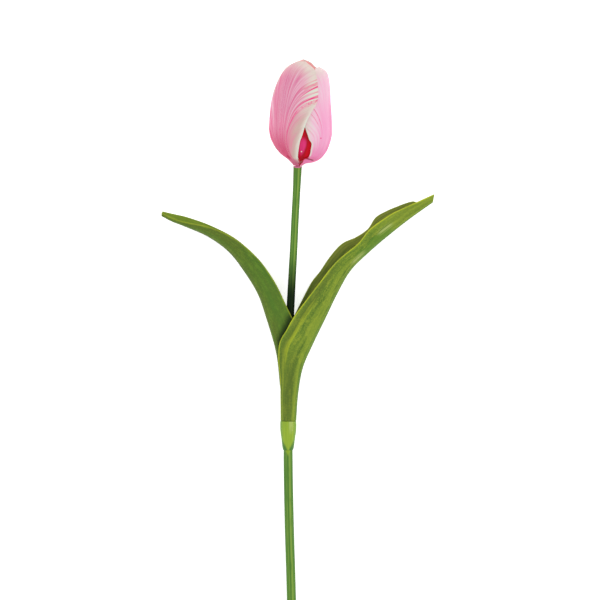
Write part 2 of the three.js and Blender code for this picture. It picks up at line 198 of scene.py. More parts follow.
# Bloom. A place in it is an angle round the axis (0 right, 90 front, which looks up), a radius
# and a height from the base. The form is the closed bloom's outer radius by height.
PETAL_THINNING = 0.2
PETAL_LAP = 1.0
PETAL_COLUMNS = 96
PETAL_ROWS = 128
FORM_LEFT = [
    (-0.3, 2.3),
    (0.4, 2.75),
    (1.14, 3.45),
    (2.85, 5.4),
    (4.6, 8.0),
    (6.3, 10.2),
    (8, 11.9),
    (9.7, 13.5),
    (11.4, 14.85),
    (13.1, 15.95),
    (14.8, 16.75),
    (18.2, 17.6),
    (20, 17.85),
    (26.8, 17.9),
    (33.6, 17.6),
    (37, 17.2),
    (40.5, 16.6),
    (43, 16.0),
    (48.5, 14.1),
    (50.7, 13.1),
    (53, 11.8),
    (55.3, 9.8),
    (57.6, 6.9),
    (59.2, 4.3),
    (60.1, 2.4),
    (60.6, 0.6),
]
FORM_RIGHT = [
    (-0.3, 2.65),
    (0.4, 3.3),
    (1.1, 4.3),
    (1.5, 5.9),
    (1.9, 8.0),
    (2.85, 10.5),
    (4.56, 13.0),
    (6.27, 14.4),
    (8, 15.5),
    (9.7, 16.35),
    (11.4, 17.0),
    (14.8, 17.9),
    (18.2, 18.4),
    (20, 18.35),
    (26.8, 17.85),
    (33.6, 17.1),
    (37, 16.65),
    (43, 16.15),
    (48.5, 15.3),
    (50.7, 14.75),
    (52.4, 14.2),
    (54.2, 13.2),
    (55, 12.3),
    (56, 10.6),
    (57.6, 7.4),
    (59, 5.7),
    (60.1, 3.5),
    (60.7, 1.5),
    (61, 0.4),
]
# Margin rows: height, angle of the margin that laps over, angle of the margin lapped over.
LEFT_MARGINS = [
    (-0.3, 64, 196),
    (0.5, 66, 197),
    (1.3, 71.5, 198),
    (2, 77.5, 199),
    (3.5, 86, 200),
    (4.6, 89.5, 201),
    (6.9, 90, 204),
    (11, 88.9, 208),
    (14.8, 87.3, 210),
    (17.1, 85, 211),
    (20, 82.7, 212),
    (23.2, 80, 212),
    (26.4, 76.6, 212),
    (29.3, 72.2, 212),
    (32.5, 66.4, 212),
    (35.7, 59.4, 212),
    (37.9, 56.4, 212),
    (40.2, 55.3, 212),
    (43, 54.9, 212),
    (48.7, 56, 212),
    (51, 56.6, 212),
    (53.6, 56.4, 209),
    (55.8, 58.5, 205),
    (57.2, 61, 200),
    (58.4, 65, 190),
    (59.3, 70, 165),
    (59.9, 84, 135),
]
RIGHT_MARGINS = [
    (-0.3, -38, 60),
    (0.5, -38, 62),
    (1.48, -39, 64.5),
    (2, -39, 68.5),
    (3.2, -40, 70.5),
    (3.53, -40, 69.5),
    (4, -40, 59.5),
    (5.3, -41, 57.6),
    (6.55, -41, 57.5),
    (9.5, -42, 60.1),
    (12.5, -43, 61.8),
    (13.45, -43, 63.5),
    (14, -43, 65.3),
    (15.1, -43, 68.8),
    (17.8, -44, 73),
    (20.5, -44, 76.9),
    (22.5, -44, 79.5),
    (26, -44, 84),
    (30, -44, 88),
    (40, -43, 90),
    (48, -37, 84),
    (52, -28, 75),
    (54.5, -18, 60),
    (55.8, -6, 47),
    (56.7, 8, 34),
]
BACK_MARGINS = [
    (-0.3, 202, 312),
    (4, 203, 314),
    (8, 203, 316),
    (20, 204, 326),
    (35, 205, 332),
    (43, 207, 332),
    (48, 208, 333),
    (52, 210, 338),
    (54.5, 212, 346),
    (56, 216, 350),
    (57.6, 223, 352),
    (58.9, 236, 350),
    (59.8, 248, 340),
    (60.6, 264, 312),
]
INNER_TIP = 52
INNER_HALF_WIDTH = [
    (0.5, 18),
    (3, 26),
    (6, 38),
    (14, 49),
    (30, 52),
    (42, 46),
    (48, 32),
    (51, 16),
    (INNER_TIP, 7),
]
INNER_SET_IN = 2.5
INNER_SET_IN_AT_BASE = 1.3
MIDRIB = {"left": 128, "right": 20, "back": 265}
INNER_MIDDLE = {"front": 82, "left": 208, "right": 322}
INNER_BASE = {"front": 0.6, "left": 2.2, "right": 0.5}
# Square millimetres: how fast the veins turn out from the midrib.
VEIN_SPREAD = {"left": 125, "right": 200, "back": 125, "inner": 125}
VEIN_MIN_REACH = 0.4
# Millimetres to a degree round the bloom, at a radius of 15.
ARC_PER_DEGREE = 15 * np.radians(1)

# Pistil and stamens.
PISTIL_FOOT = 3.0
STIGMA_FOOT = 17.3
FILAMENT_TOP = 9
ANTHER_TOP = 19
STAMENS = 6

# Stage. Lights: name, place and width in metres, watts.
FLOOR_DROP = 0.2
FLOOR_GLOW = 0.6
SURROUNDING_LIGHT = 0.62
LIGHTS = (
    ("key", (0.9, 0.7, 1.5), 1.2, 8),
    ("fill", (-1.1, 0.3, 1.3), 1.4, 4.5),
    ("low", (0.1, -1.3, 1.2), 1.2, 3.5),
)
CAMERA_AIM = (1.425, 32.63)
SENSOR_WIDTH = 36
CAMERA_REACH = 20


# Curves and meshes


def through(knots):
    """A smooth run of values through (place, value) knots, for arrays of places."""
    x, y = np.array(knots, float).T
    before = np.maximum(np.arange(len(x)) - 1, 0)
    after = np.minimum(np.arange(len(x)) + 1, len(x) - 1)
    slope = (y[after] - y[before]) / (x[after] - x[before])

    def at(place):
        p = np.clip(place, x[0], x[-1])
        i = np.clip(np.searchsorted(x, p) - 1, 0, len(x) - 2)
        span = x[i + 1] - x[i]
        t = (p - x[i]) / span
        rest = 1 - t
        return (
            y[i] * rest * rest * (1 + 2 * t)
            + y[i + 1] * t * t * (3 - 2 * t)
            + slope[i] * span * t * rest * rest
            - slope[i + 1] * span * t * t * rest
        )

    return at


def column(rows, n):
    return through([(row[0], row[n]) for row in rows])


def eased(value, low, high):
    t = np.clip((value - low) / (high - low), 0, 1)
    return t * t * (3 - 2 * t)


def lerp(a, b, t):
    return a + (b - a) * t


def unit(vectors):
    return vectors / np.linalg.norm(vectors, axis=-1, keepdims=True)


def dense_ends(count, gather=0.7):
    """count + 1 places from 0 to 1, closer together towards both ends."""
    t = np.linspace(0, 1, count + 1)
    return t - gather * np.sin(2 * np.pi * t) / (2 * np.pi)


def to_borders(grid, axis):
    """Distance of each grid point from the two borders along one axis."""
    gaps = np.linalg.norm(np.diff(grid, axis=axis), axis=-1)
    start = np.insert(np.cumsum(gaps, axis=axis), 0, 0, axis=axis)
    return start, start.max(axis=axis, keepdims=True) - start


def blade(surface, thickness, outer, columns, rows, relief, base_rounding=None):
    """A closed blade with round rims: its points, faces and what its finish can read.

    surface(u, v) gives the middle, u from -1 to 1 across and v from 0 to 1 along. outer is 1
    where across × along points to the outer face, or -1. relief(u, v) is what each face is raised.
    """
    u, v = np.meshgrid(2 * dense_ends(columns) - 1, dense_ends(rows))
    nudge = 1e-3

    def middle(a, b):
        points = surface(a, b)
        points[..., 2] = np.maximum(points[..., 2], thickness(a) / 2)
        return points

    centre = middle(u, v)
    across = middle(np.minimum(u + nudge, 1), v) - middle(np.maximum(u - nudge, -1), v)
    along = middle(u, np.minimum(v + nudge, 1)) - middle(u, np.maximum(v - nudge, 0))
    normal = outer * unit(np.cross(unit(across), unit(along)))
    low_side, high_side = to_borders(centre, 1)
    side = np.minimum(low_side, high_side)
    base, tip = to_borders(centre, 0)
    half = thickness(u) / 2
    rounding = 1
    for distance, width in ((side, half), (base, base_rounding or half), (tip, half)):
        rounding = rounding * np.sqrt(1 - (1 - np.clip(distance / width, 0, 1)) ** 2)
    raised = relief(u, v)
    faces = []
    for sign, lift in ((1, raised), (-1, -raised)):
        face = centre + normal * (rounding * (sign * half + lift))[..., None]
        face[..., 2] = np.maximum(face[..., 2], 0)
        faces.append(face)
    front, back = faces

    top = np.arange(u.size).reshape(u.shape)
    under = top.copy()
    inner = under[1:-1, 1:-1]
    inner[...] = u.size + np.arange(inner.size).reshape(inner.shape)

    def quads(grid):
        corners = [grid[:-1, :-1], grid[:-1, 1:], grid[1:, 1:], grid[1:, :-1]]
        return np.stack(corners, -1).reshape(-1, 4)

    def both(values):
        return np.concatenate([values.reshape(-1), values[1:-1, 1:-1].reshape(-1)])

    points = np.vstack([front.reshape(-1, 3), back[1:-1, 1:-1].reshape(-1, 3)])
    corners = np.vstack([quads(top), quads(under)[:, ::-1]])
    outside = np.concatenate([np.ones(u.size), np.zeros(inner.size)])
    facts = {
        "u": both(u),
        "v": both(v),
        "rim": both(side),
        "lap": both(low_side),
        "outside": outside,
    }
    return points, corners.tolist(), facts


def round_body(middle, places, radii, sides, section=None, closed=False):
    """A body of rings round a middle line. It ends in flat faces, or runs back into its first ring."""
    places, radii = np.array(places, float), np.array(radii, float)
    ahead = unit(middle(places + 0.1) - middle(places - 0.1))[:, None, :]
    side = unit(np.cross(ahead, UP))
    over = np.cross(side, ahead)
    turn = (np.arange(sides) + 0.5) / sides * 2 * np.pi
    turn, place = np.meshgrid(turn, places)
    reach = radii[:, None] * (section(turn, place) if section else np.ones_like(turn))
    rightward, upward = np.cos(turn), np.sin(turn)
    points = middle(places)[:, None, :] + side * (reach * rightward)[..., None]
    points = points + over * (reach * upward)[..., None]
    points[..., 2] = np.maximum(points[..., 2], 0)
    ring = np.arange(turn.size).reshape(turn.shape)
    low = ring if closed else ring[:-1]
    high = np.roll(ring, -1, 0) if closed else ring[1:]
    corners = np.stack([low, np.roll(low, -1, 1), np.roll(high, -1, 1), high], -1)
    faces = corners.reshape(-1, 4).tolist()
    if not closed:
        faces += [ring[0][::-1].tolist(), ring[-1].tolist()]
    facts = {"place": place, "rightward": rightward, "upward": upward, "reach": reach}
    return points.reshape(-1, 3), faces, {k: f.reshape(-1) for k, f in facts.items()}


def add_piece(name, node, body, material):
    """A closed piece that stands for a node of the frame. body is its points, faces and facts."""
    points, faces, facts = body
    mesh = bpy.data.meshes.new(name)
    mesh.from_pydata((points * MM).tolist(), [], faces)
    for fact, values in facts.items():
        attribute = mesh.attributes.new(fact, "FLOAT", "POINT")
        attribute.data.foreach_set("value", values.astype(np.float32))
    work = bmesh.new()
    work.from_mesh(mesh)
    bmesh.ops.recalc_face_normals(work, faces=work.faces)
    work.to_mesh(mesh)
    work.free()
    mesh.shade_smooth()
    mesh.materials.append(material)
    piece = bpy.data.objects.new(name, mesh)
    bpy.context.scene.collection.objects.link(piece)
    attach(piece, "root")
    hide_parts(node)
    return piece


# Finishes


class Amount:
    """A number or a colour that varies over a surface. Arithmetic on it adds Math nodes."""

    def __init__(self, finish, socket):
        self.finish = finish
        self.socket = socket

    def math(self, operation, *values):
        return self.finish.node("Math", {"operation": operation}, dict(enumerate(values)))

    def __add__(self, other):
        return self.math("ADD", self, other)

    def __sub__(self, other):
        return self.math("SUBTRACT", self, other)

    def __rsub__(self, other):
        return self.math("SUBTRACT", other, self)

    def __mul__(self, other):
        return self.math("MULTIPLY", self, other)

    def __truediv__(self, other):
        return self.math("DIVIDE", self, other)

    def __rtruediv__(self, other):
        return self.math("DIVIDE", other, self)

    def __abs__(self):
        return self.math("ABSOLUTE", self)

    __radd__ = __add__
    __rmul__ = __mul__

    def rise(self, low, high):
        """From 0 at low to 1 at high, eased."""
        settings = {"interpolation_type": "SMOOTHSTEP"}
        return self.finish.node("MapRange", settings, {0: self, 1: low, 2: high})

    def fall(self, low, high):
        return 1 - self.rise(low, high)

    def band(self, centre, half, soft):
        """1 within half of the centre, fading out over soft."""
        return abs(self - centre).fall(half, half + soft)


def opaque(colour):
    """A setting's colour with full alpha. A colour that nodes give stays as it is."""
    return colour if isinstance(colour, Amount) else (*colour, 1.0)


class Finish:
    """A material of this flower. Its nodes are made as they are asked for."""

    def __init__(self, name):
        self.material = bpy.data.materials.new(name)
        self.material.use_nodes = True
        self.tree = self.material.node_tree
        self.tree.nodes.clear()

    def node(self, kind, settings=None, sockets=None, out=0):
        made = self.tree.nodes.new("ShaderNode" + kind)
        for key, value in (settings or {}).items():
            setattr(made, key, value)
        for key, value in (sockets or {}).items():
            if isinstance(value, Amount):
                self.tree.links.new(value.socket, made.inputs[key])
            else:
                made.inputs[key].default_value = value
        return None if out is None else Amount(self, made.outputs[out])

    def fact(self, name):
        """A number that the mesh carries."""
        return self.node("Attribute", {"attribute_name": name}, out="Fac")

    def noise(self, x, y, z, detail=2.0, roughness=0.5):
        """Cloudy noise from 0 to 1, one cloud to a unit of x, y and z."""
        place = self.node("CombineXYZ", sockets={0: x, 1: y, 2: z})
        sockets = {"Vector": place, "Scale": 1.0, "Detail": detail, "Roughness": roughness}
        return self.node("TexNoise", sockets=sockets)

    def grain(self, scale, detail=2.0):
        """Even noise in space, its clouds 1 / scale millimetres wide."""
        place = self.node("NewGeometry", out="Position")
        sockets = {"Vector": place, "Scale": scale / MM, "Detail": detail}
        return self.node("TexNoise", sockets=sockets)

    def blend(self, share, colour, other):
        """share 0 gives colour and 1 gives other."""
        sockets = {0: share, 6: opaque(colour), 7: opaque(other)}
        return self.node("Mix", {"data_type": "RGBA"}, sockets, out=2)

    def close(self, colour, roughness, height, depth, gloss, glow=0.0, glow_colour=WHITE):
        """Ends the material. height raises the surface by up to depth millimetres."""
        bump = self.node("Bump", sockets={"Height": height, "Distance": depth * MM, "Strength": 1.0})
        sockets = {
            "Base Color": opaque(colour),
            "Roughness": roughness,
            "Normal": bump,
            "Specular IOR Level": gloss,
            "Emission Color": opaque(glow_colour),
            "Emission Strength": glow,
        }
        surface = self.node("BsdfPrincipled", sockets=sockets)
        self.node("OutputMaterial", sockets={"Surface": surface}, out=None)
        return self.material


# Settings


def srgb(red, green, blue):
    """A screen colour of 0 to 255 as the scene's linear colour."""
    shares = np.array([red, green, blue]) / 255
    return tuple(np.where(shares <= 0.04045, shares / 12.92, ((shares + 0.055) / 1.055) ** 2.4))


def length(name, text, millimetres):
    return FloatProperty(
        name=name, description=text, default=millimetres * MM, min=0.0, unit="LENGTH", precision=5
    )


def colour(name, text, *screen):
    return FloatVectorProperty(
        name=name, description=text, default=srgb(*screen), size=3, subtype="COLOR", min=0, max=1
    )


class TulipStemSettings(bpy.types.PropertyGroup):
    """Sizes and colours of the stem and the sheath collar."""

    radius_low: length("Low radius", "Radius of the stem below the collar", 2.63)
    radius_sheathed: length("Sheathed radius", "Radius of the stem inside the sheath", 2.35)
    radius_high: length("High radius", "Radius of the stem above the leaves", 2.2)
    radius_top: length("Top radius", "Radius of the stem under the bloom", 2.45)
    receptacle: length("Receptacle radius", "Radius of the stem's head inside the bloom", 1.6)
    rib: length("Rib height", "Height of the stem's fine ribs", 0.05)
    green: colour("Green", "Main colour of the stem", 80, 128, 52)
    # Lighter streaks along the stem, and its painted highlight on the upper side.
    streak_and_highlight: colour("Stripe", "Lighter colour along the stem's front", 136, 170, 74)
    # edge is painted shade down the stem's sides.
    edge: colour("Edge", "Darker green along the stem's sides", 58, 106, 38)
    shade: colour("Shade", "Colour of the stem in the leaves' fork", 12, 26, 14)
    # fleck also paints the collar's highlight.
    fleck: colour("Fleck", "Pale streak and flecks on the collar", 196, 210, 130)
    foot: colour("Bloom foot", "Colour where the stem meets the petals", 212, 118, 156)
    pith: colour("Pith", "Colour of the cut face", 176, 196, 132)
    collar_light: colour("Collar", "Main colour of the collar", 158, 186, 54)
    # collar_green is also painted shade down the collar's sides.
    collar_green: colour("Collar sides", "Colour of the collar's sides and foot", 92, 142, 50)


class TulipLeafSettings(bpy.types.PropertyGroup):
    """Sizes and colours of the two leaves."""

    thickness: length("Thickness", "Thickness of a leaf along its keel", 0.9)
    rib: length("Rib height", "Height of the long ribs", 0.05)
    wave: length("Wave height", "Height of the margins' soft waves", 0.35)
    deep: colour("Deep green", "Dark streaks", 84, 114, 44)
    middle: colour("Middle green", "Ground colour", 112, 142, 50)
    light: colour("Yellow green", "Light streaks and veins", 150, 168, 58)
    keel: colour("Keel green", "Clear green along the keel", 80, 130, 46)
    edge: colour("Edge", "The bright line along the margins", 190, 202, 52)
    olive: colour("Olive", "Dull green of the left leaf and the hollow sides", 98, 114, 46)
    bronze: colour("Bronze", "Light streaks in the hollow sides", 142, 150, 66)
    # Painted highlight: pale patches where light glints on the right leaf.
    painted_highlight: colour("Shine", "Pale worn patches", 188, 200, 118)
    shade: colour("Shade", "Colour deep in the fork", 22, 38, 18)


class TulipPetalSettings(bpy.types.PropertyGroup):
    """Sizes and colours of the petals."""

    thickness: length("Thickness", "Thickness of a petal along its midrib", 0.82)
    fold: length("Midrib fold", "Depth of the soft fold along each midrib", 0.16)
    pink: colour("Pink", "Ground colour of the outer petals", 227, 138, 170)
    rose: colour("Rose", "Deeper pink of the left petal's lower side", 231, 114, 156)
    deep: colour("Deep pink", "Dark veins", 220, 92, 138)
    mauve: colour("Mauve", "Shade between the veins near the tip", 216, 120, 160)
    magenta: colour("Magenta", "Deep colour towards the base", 206, 66, 108)
    lilac: colour("Lilac", "Ground colour of the right petal", 242, 158, 200)
    flush: colour("Flush", "The right petal's outer side and foot", 236, 124, 176)
    lobe: colour("Lobe", "The bright fold at the right petal's foot", 244, 128, 186)
    blush: colour("Blush", "Palest pink", 238, 206, 218)
    cream: colour("Cream", "Margins and tips", 226, 216, 204)
    mint: colour("Mint", "Palest lines beside the streaks and the slit", 222, 228, 214)
    ivory: colour("Ivory", "Darker cream of the left petal's tip and far margin", 220, 200, 192)
    flesh: colour("Flesh", "Dull pink at the left petal's foot", 204, 108, 138)
    beige: colour("Beige", "Lower middle of the left petal", 208, 180, 170)
    streak: colour("Streak", "The flamed streaks", 234, 64, 134)
    flame: colour("Flame", "The paler flamed streaks", 230, 128, 152)
    salmon: colour("Salmon", "Inner faces", 226, 168, 166)
    red: colour("Red", "Inner petal in the slit", 188, 12, 30)
    shade_and_vein_red: colour("Dark red", "Shade on the inner petal in the slit", 150, 22, 36)
    crimson: colour("Crimson", "Side of the inner petal in the slit", 188, 14, 66)
    # Partly the inner petal's own magenta, partly a painted sheen on its belly.
    oval: colour("Oval", "Soft spot on the inner petal in the slit", 208, 54, 114)
    # Painted shade in the creases and marks at the petals' foot.
    foot_shade: colour("Brown", "Creases at the foot", 142, 56, 70)


class TulipHeartSettings(bpy.types.PropertyGroup):
    """Colours of the pistil and the stamens."""

    ovary: colour("Ovary", "Three-sided ovary", 150, 172, 96)
    stigma: colour("Stigma", "Lobed stigma", 224, 212, 150)
    filament: colour("Filament", "Stalk of a stamen", 206, 210, 160)
    anther: colour("Anther", "Pollen sac", 62, 46, 66)
    pollen: colour("Pollen", "Grains on the anthers", 150, 120, 70)


class TulipStageSettings(bpy.types.PropertyGroup):
    """Floor, lights and camera."""

    floor_size: length("Floor size", "Width of the floor", 6000)
    camera_height: length("Camera height", "Camera above the surface", 4766)
    lens: FloatProperty(
        name="Lens", description="Focal length", default=500.0, unit="CAMERA", min=1.0
    )
    floor: colour("Floor", "Colour of the floor", 250, 250, 250)


def read(group):
    return getattr(bpy.context.scene, "tulip_" + group)


# Stem


stem_side = through(STEM_LINE)


def stem_middle(y):
    return np.stack([stem_side(y), y, BLOOM_BASE[2] + STEM_PITCH * (y - BLOOM_BASE[1])], -1)


def stem_body(stem):
    low, sheathed = stem.radius_low / MM, stem.radius_sheathed / MM
    high, top, head = stem.radius_high / MM, stem.radius_top / MM, stem.receptacle / MM
    shaft = through([
        (CUT_END, low),
        (-57, low),
        (-50, low - 0.13),
        (-42, sheathed),
        (10, sheathed),
        (50, high),
        (96, high),
        (102, high + 0.5 * (top - high)),
        (STEM_SHOULDER, top),
    ])
    neck = through([
        (0, head - 0.3),
        (0.4, head - 0.3),
        (1.3, head),
        (RECEPTACLE_RISE - 0.2, head),
        (RECEPTACLE_RISE, head - 0.2),
    ])
    # The cut face is a shallow dish: (distance from the cut, share of the radius).
    dish = [(0.3, 0.05), (0.28, 0.3), (0.2, 0.55), (0.06, 0.8), (0, 0.9), (0.03, 0.96), (0.14, 1)]
    along = np.arange(CUT_END + 0.5, STEM_SHOULDER, STEM_RING_GAP)
    rise = np.linspace(0, RECEPTACLE_RISE, 16)
    places = [CUT_END + down for down, _ in dish] + [*along, STEM_SHOULDER, *(STEM_SHOULDER + rise)]
    radii = [low * share for _, share in dish] + [*shaft(along), top, *neck(rise)]
    rib = stem.rib / MM

    def section(turn, place):
        wander = 0.25 * np.sin(place / 23)
        return 1 + rib / low * (np.cos(STEM_RIBS * turn + wander) - 1) / 2

    points, faces, facts = round_body(stem_middle, places, radii, STEM_SIDES, section)
    facts["cut"] = np.repeat(np.arange(len(places)) < len(dish) - 2, STEM_SIDES)
    return points, faces, facts


def stem_finish(stem):
    f = Finish("stem_skin")
    place, right, up = f.fact("place"), f.fact("rightward"), f.fact("upward")
    fibres = f.noise(right * 7, up * 7, place * 0.035, detail=3)
    mottle = f.noise(right * 1.5, up * 1.5, place * 0.12, detail=4)
    tint = f.blend(fibres.rise(0.35, 0.7) * 0.45, stem.green, stem.streak_and_highlight)
    # Painted highlight: a lighter band along the stem's upper right side, where the light falls.
    streak_and_highlight = right.band(0.3, 0.1, 0.22) * up.rise(0.2, 0.8) * mottle.rise(0.2, 0.5)
    tint = f.blend(right.band(0, 0.04, 0.2) * fibres.rise(0.3, 0.6) * 0.6, tint, stem.edge)
    tint = f.blend(streak_and_highlight * 0.9, tint, stem.streak_and_highlight)
    second = right.band(-0.35, 0.03, 0.15) * mottle.rise(0.3, 0.6) * 0.5
    tint = f.blend(second, tint, stem.streak_and_highlight)
    # Painted shade: darker green down both sides, where the stem turns away from the light.
    tint = f.blend(abs(right).rise(0.7, 1.0) * 0.6, tint, stem.edge)
    # Painted shade: nearly black green where the two leaves shade the stem in their fork.
    fork = place.rise(4, 12) * place.fall(34, 64)
    tint = f.blend(fork * 0.97, tint, stem.shade)
    tongue = (COLLAR_FOOT - place + abs(right) * 5 + mottle * 1.5).fall(2.5, 5)
    tint = f.blend(tongue * place.fall(COLLAR_FOOT, COLLAR_FOOT + 2) * 0.8, tint, stem.collar_light)
    foot = (place + up.rise(0, 1) * 0.95).rise(STEM_SHOULDER - 0.1, STEM_SHOULDER + 0.1)
    tint = f.blend(foot, tint, stem.foot)
    cut = f.fact("cut")
    rings = f.noise(f.fact("reach") * 3, right * 2, up * 2, detail=3)
    pith = f.blend(rings.rise(0.4, 0.6) * 0.5, stem.pith, stem.streak_and_highlight)
    tint = f.blend(cut, tint, pith)
    rough = 0.42 + 0.16 * mottle + 0.3 * fork
    height = fibres * 0.7 + f.grain(2.2) * 0.3
    return f.close(tint, rough, height, 0.05, gloss=0.08)


# Collar


def collar_body():
    start = stem_middle(COLLAR_TOP)
    ahead = unit(start - stem_middle(COLLAR_FOOT))
    lip, foot = COLLAR_OUTLINE[0][0], COLLAR_OUTLINE[-1][0]
    outside = lerp(lip, foot, dense_ends(72, 0.9))
    bore = np.linspace(foot, lip, 16)
    down = np.concatenate([outside, bore])
    radii = np.concatenate([through(COLLAR_OUTLINE)(outside), np.full(bore.shape, COLLAR_BORE)])

    def section(turn, place):
        ridges = 0.006 * np.cos(19 * turn) + 0.008 * np.cos(5 * turn + 1)
        outer = (radii > COLLAR_BORE + 0.05)[:, None]
        return 1 + ridges * outer * eased(-place, 0.2, 2)

    def middle(place):
        return start + ahead * place[..., None]

    points, faces, facts = round_body(middle, -down, radii, COLLAR_SIDES, section, closed=True)
    facts["down"] = -facts.pop("place")
    return points, faces, facts


def collar_finish(stem):
    f = Finish("collar_skin")
    down, right, up = f.fact("down"), f.fact("rightward"), f.fact("upward")
    fibres = f.noise(right * 8, up * 8, down * 0.06, detail=3)
    clouds = f.noise(right * 2, up * 2, down * 0.3, detail=3)
    tint = f.blend(fibres.rise(0.35, 0.7) * 0.4, stem.collar_light, stem.collar_green)
    # Painted highlight: a pale band down the collar's upper right side, in the fleck colour.
    highlight = right.band(0.35, 0.1, 0.3) * up.rise(0, 0.6) * down.fall(2, 9)
    tint = f.blend(highlight * 0.45, tint, stem.fleck)
    # Painted shade: darker green down the collar's sides.
    tint = f.blend(abs(right).rise(0.6, 0.98) * 0.7, tint, stem.collar_green)
    tongue = (down + abs(right) * 7 + clouds * 1.5).rise(16.5, 20)
    tint = f.blend(tongue, tint, stem.green)
    fleck = f.grain(1.6).rise(0.62, 0.68) * right.band(0.45, 0.15, 0.2) * down.fall(4, 9)
    tint = f.blend(fleck * 0.7, tint, stem.fleck)
    return f.close(tint, 0.4 + 0.15 * clouds, fibres * 0.7 + f.grain(2) * 0.3, 0.06, gloss=0.2)


# Leaves


def leaf_body(leaf, side, keel_rows, form_rows, slant, seed):
    keel_x, keel_y = column(keel_rows, 1), column(keel_rows, 2)
    height, wrap, depth, front, back = (column(form_rows, n) for n in range(1, 6))
    thick, wave_height = leaf.thickness / MM, leaf.wave / MM
    random = np.random.default_rng(seed)
    phases = random.uniform(0, 2 * np.pi, (2, 3))

    def waves(u, v):
        """Soft waves in the margins, growing where the leaf has left its sheath."""
        rising = np.where(u > 0, 0, 1)
        total = sum(
            np.sin(v * pace * 2 * np.pi + phases[rising, n]) / (n + 1)
            for n, pace in enumerate(MARGIN_WAVES)
        )
        return wave_height * total * np.abs(u) ** 3 * eased(v, 0.4, 0.55)

    def surface(u, v):
        v0, v1 = np.maximum(v - 0.01, 0), np.minimum(v + 0.01, 1)
        ahead = unit(np.stack([keel_x(v1) - keel_x(v0), keel_y(v1) - keel_y(v0)], -1))
        # The foot is cut square to the stem.
        square = 1 - eased(v, 0, LEAF_SQUARE_FOOT)
        ahead = unit(lerp(ahead, np.array([0.0, 1.0]), square[..., None]))
        whole = np.radians(wrap(v))
        turn = whole * np.abs(u)
        width = np.where(u > 0, front(v), back(v))
        reach = thick / 2 + width * (1 - np.cos(turn)) / (1 - np.cos(whole))
        rise = np.sign(u) * depth(v) * np.sin(turn) + waves(u, v)
        forward = slant * np.abs(u) ** 1.5 * eased(v, 0.9, 1) - STEM_PITCH * rise * square
        return np.stack(
            [
                keel_x(v) - side * ahead[..., 1] * reach + ahead[..., 0] * forward,
                keel_y(v) + side * ahead[..., 0] * reach + ahead[..., 1] * forward,
                height(v) + rise,
            ],
            -1,
        )

    def relief(u, v):
        ribs = np.cos(u * np.pi * 2 * LEAF_RIBS) * (leaf.rib / MM) / 2
        keel = KEEL_RIDGE * np.exp(-((u / KEEL_RIDGE_WIDTH) ** 2))
        return ribs * eased(v, 0.02, 0.1) + keel * eased(v, 0.1, 0.3)

    return blade(
        surface,
        lambda u: thick - LEAF_THINNING * np.abs(u) ** 3,
        -side,
        LEAF_COLUMNS,
        LEAF_ROWS,
        relief,
        LEAF_FOOT_ROUNDING,
    )


class LeafFinish(Finish):
    """A leaf's material: a streaked and mottled green, with what the leaves' meshes carry."""

    def __init__(self, name, seed):
        super().__init__(name)
        for fact in ("u", "v", "rim", "outside"):
            setattr(self, fact, self.fact(fact))
        self.veins = self.noise(self.u * 24, self.v * 3, seed, detail=3)
        self.streaks = self.noise(self.u * 5, self.v * 4, seed + 7, detail=5, roughness=0.6)
        self.mottle = self.noise(self.u * 9, self.v * 16, seed + 9, detail=4, roughness=0.6)
        self.speck = self.grain(1.3, detail=3)

    def ground(self, dark, middle, light):
        tint = self.blend(self.streaks.rise(0.36, 0.58), dark, middle)
        tint = self.blend(self.mottle.rise(0.5, 0.62) * 0.7, tint, light)
        tint = self.blend(self.veins.rise(0.5, 0.7) * 0.35, tint, light)
        tint = self.blend(self.speck.rise(0.52, 0.64) * 0.45, tint, light)
        return self.blend(self.speck.fall(0.38, 0.5) * 0.6, tint, dark)

    def close_leaf(self, tint, hollow, leaf, bright):
        """bright is how much of the light line shows along the front margin."""
        tint = self.blend(self.outside.fall(0.2, 0.8), tint, hollow)
        edge = self.rim.fall(0.25, 0.95) * (0.3 + (bright - 0.3) * self.u.rise(0, 0.5))
        edge = edge * (0.55 + 0.45 * self.mottle.rise(0.35, 0.6))
        tint = self.blend(edge, tint, leaf.edge)
        rough = 0.45 + 0.2 * self.mottle
        return self.close(tint, rough, self.veins * 0.6 + self.speck * 0.4, 0.09, gloss=0.06)


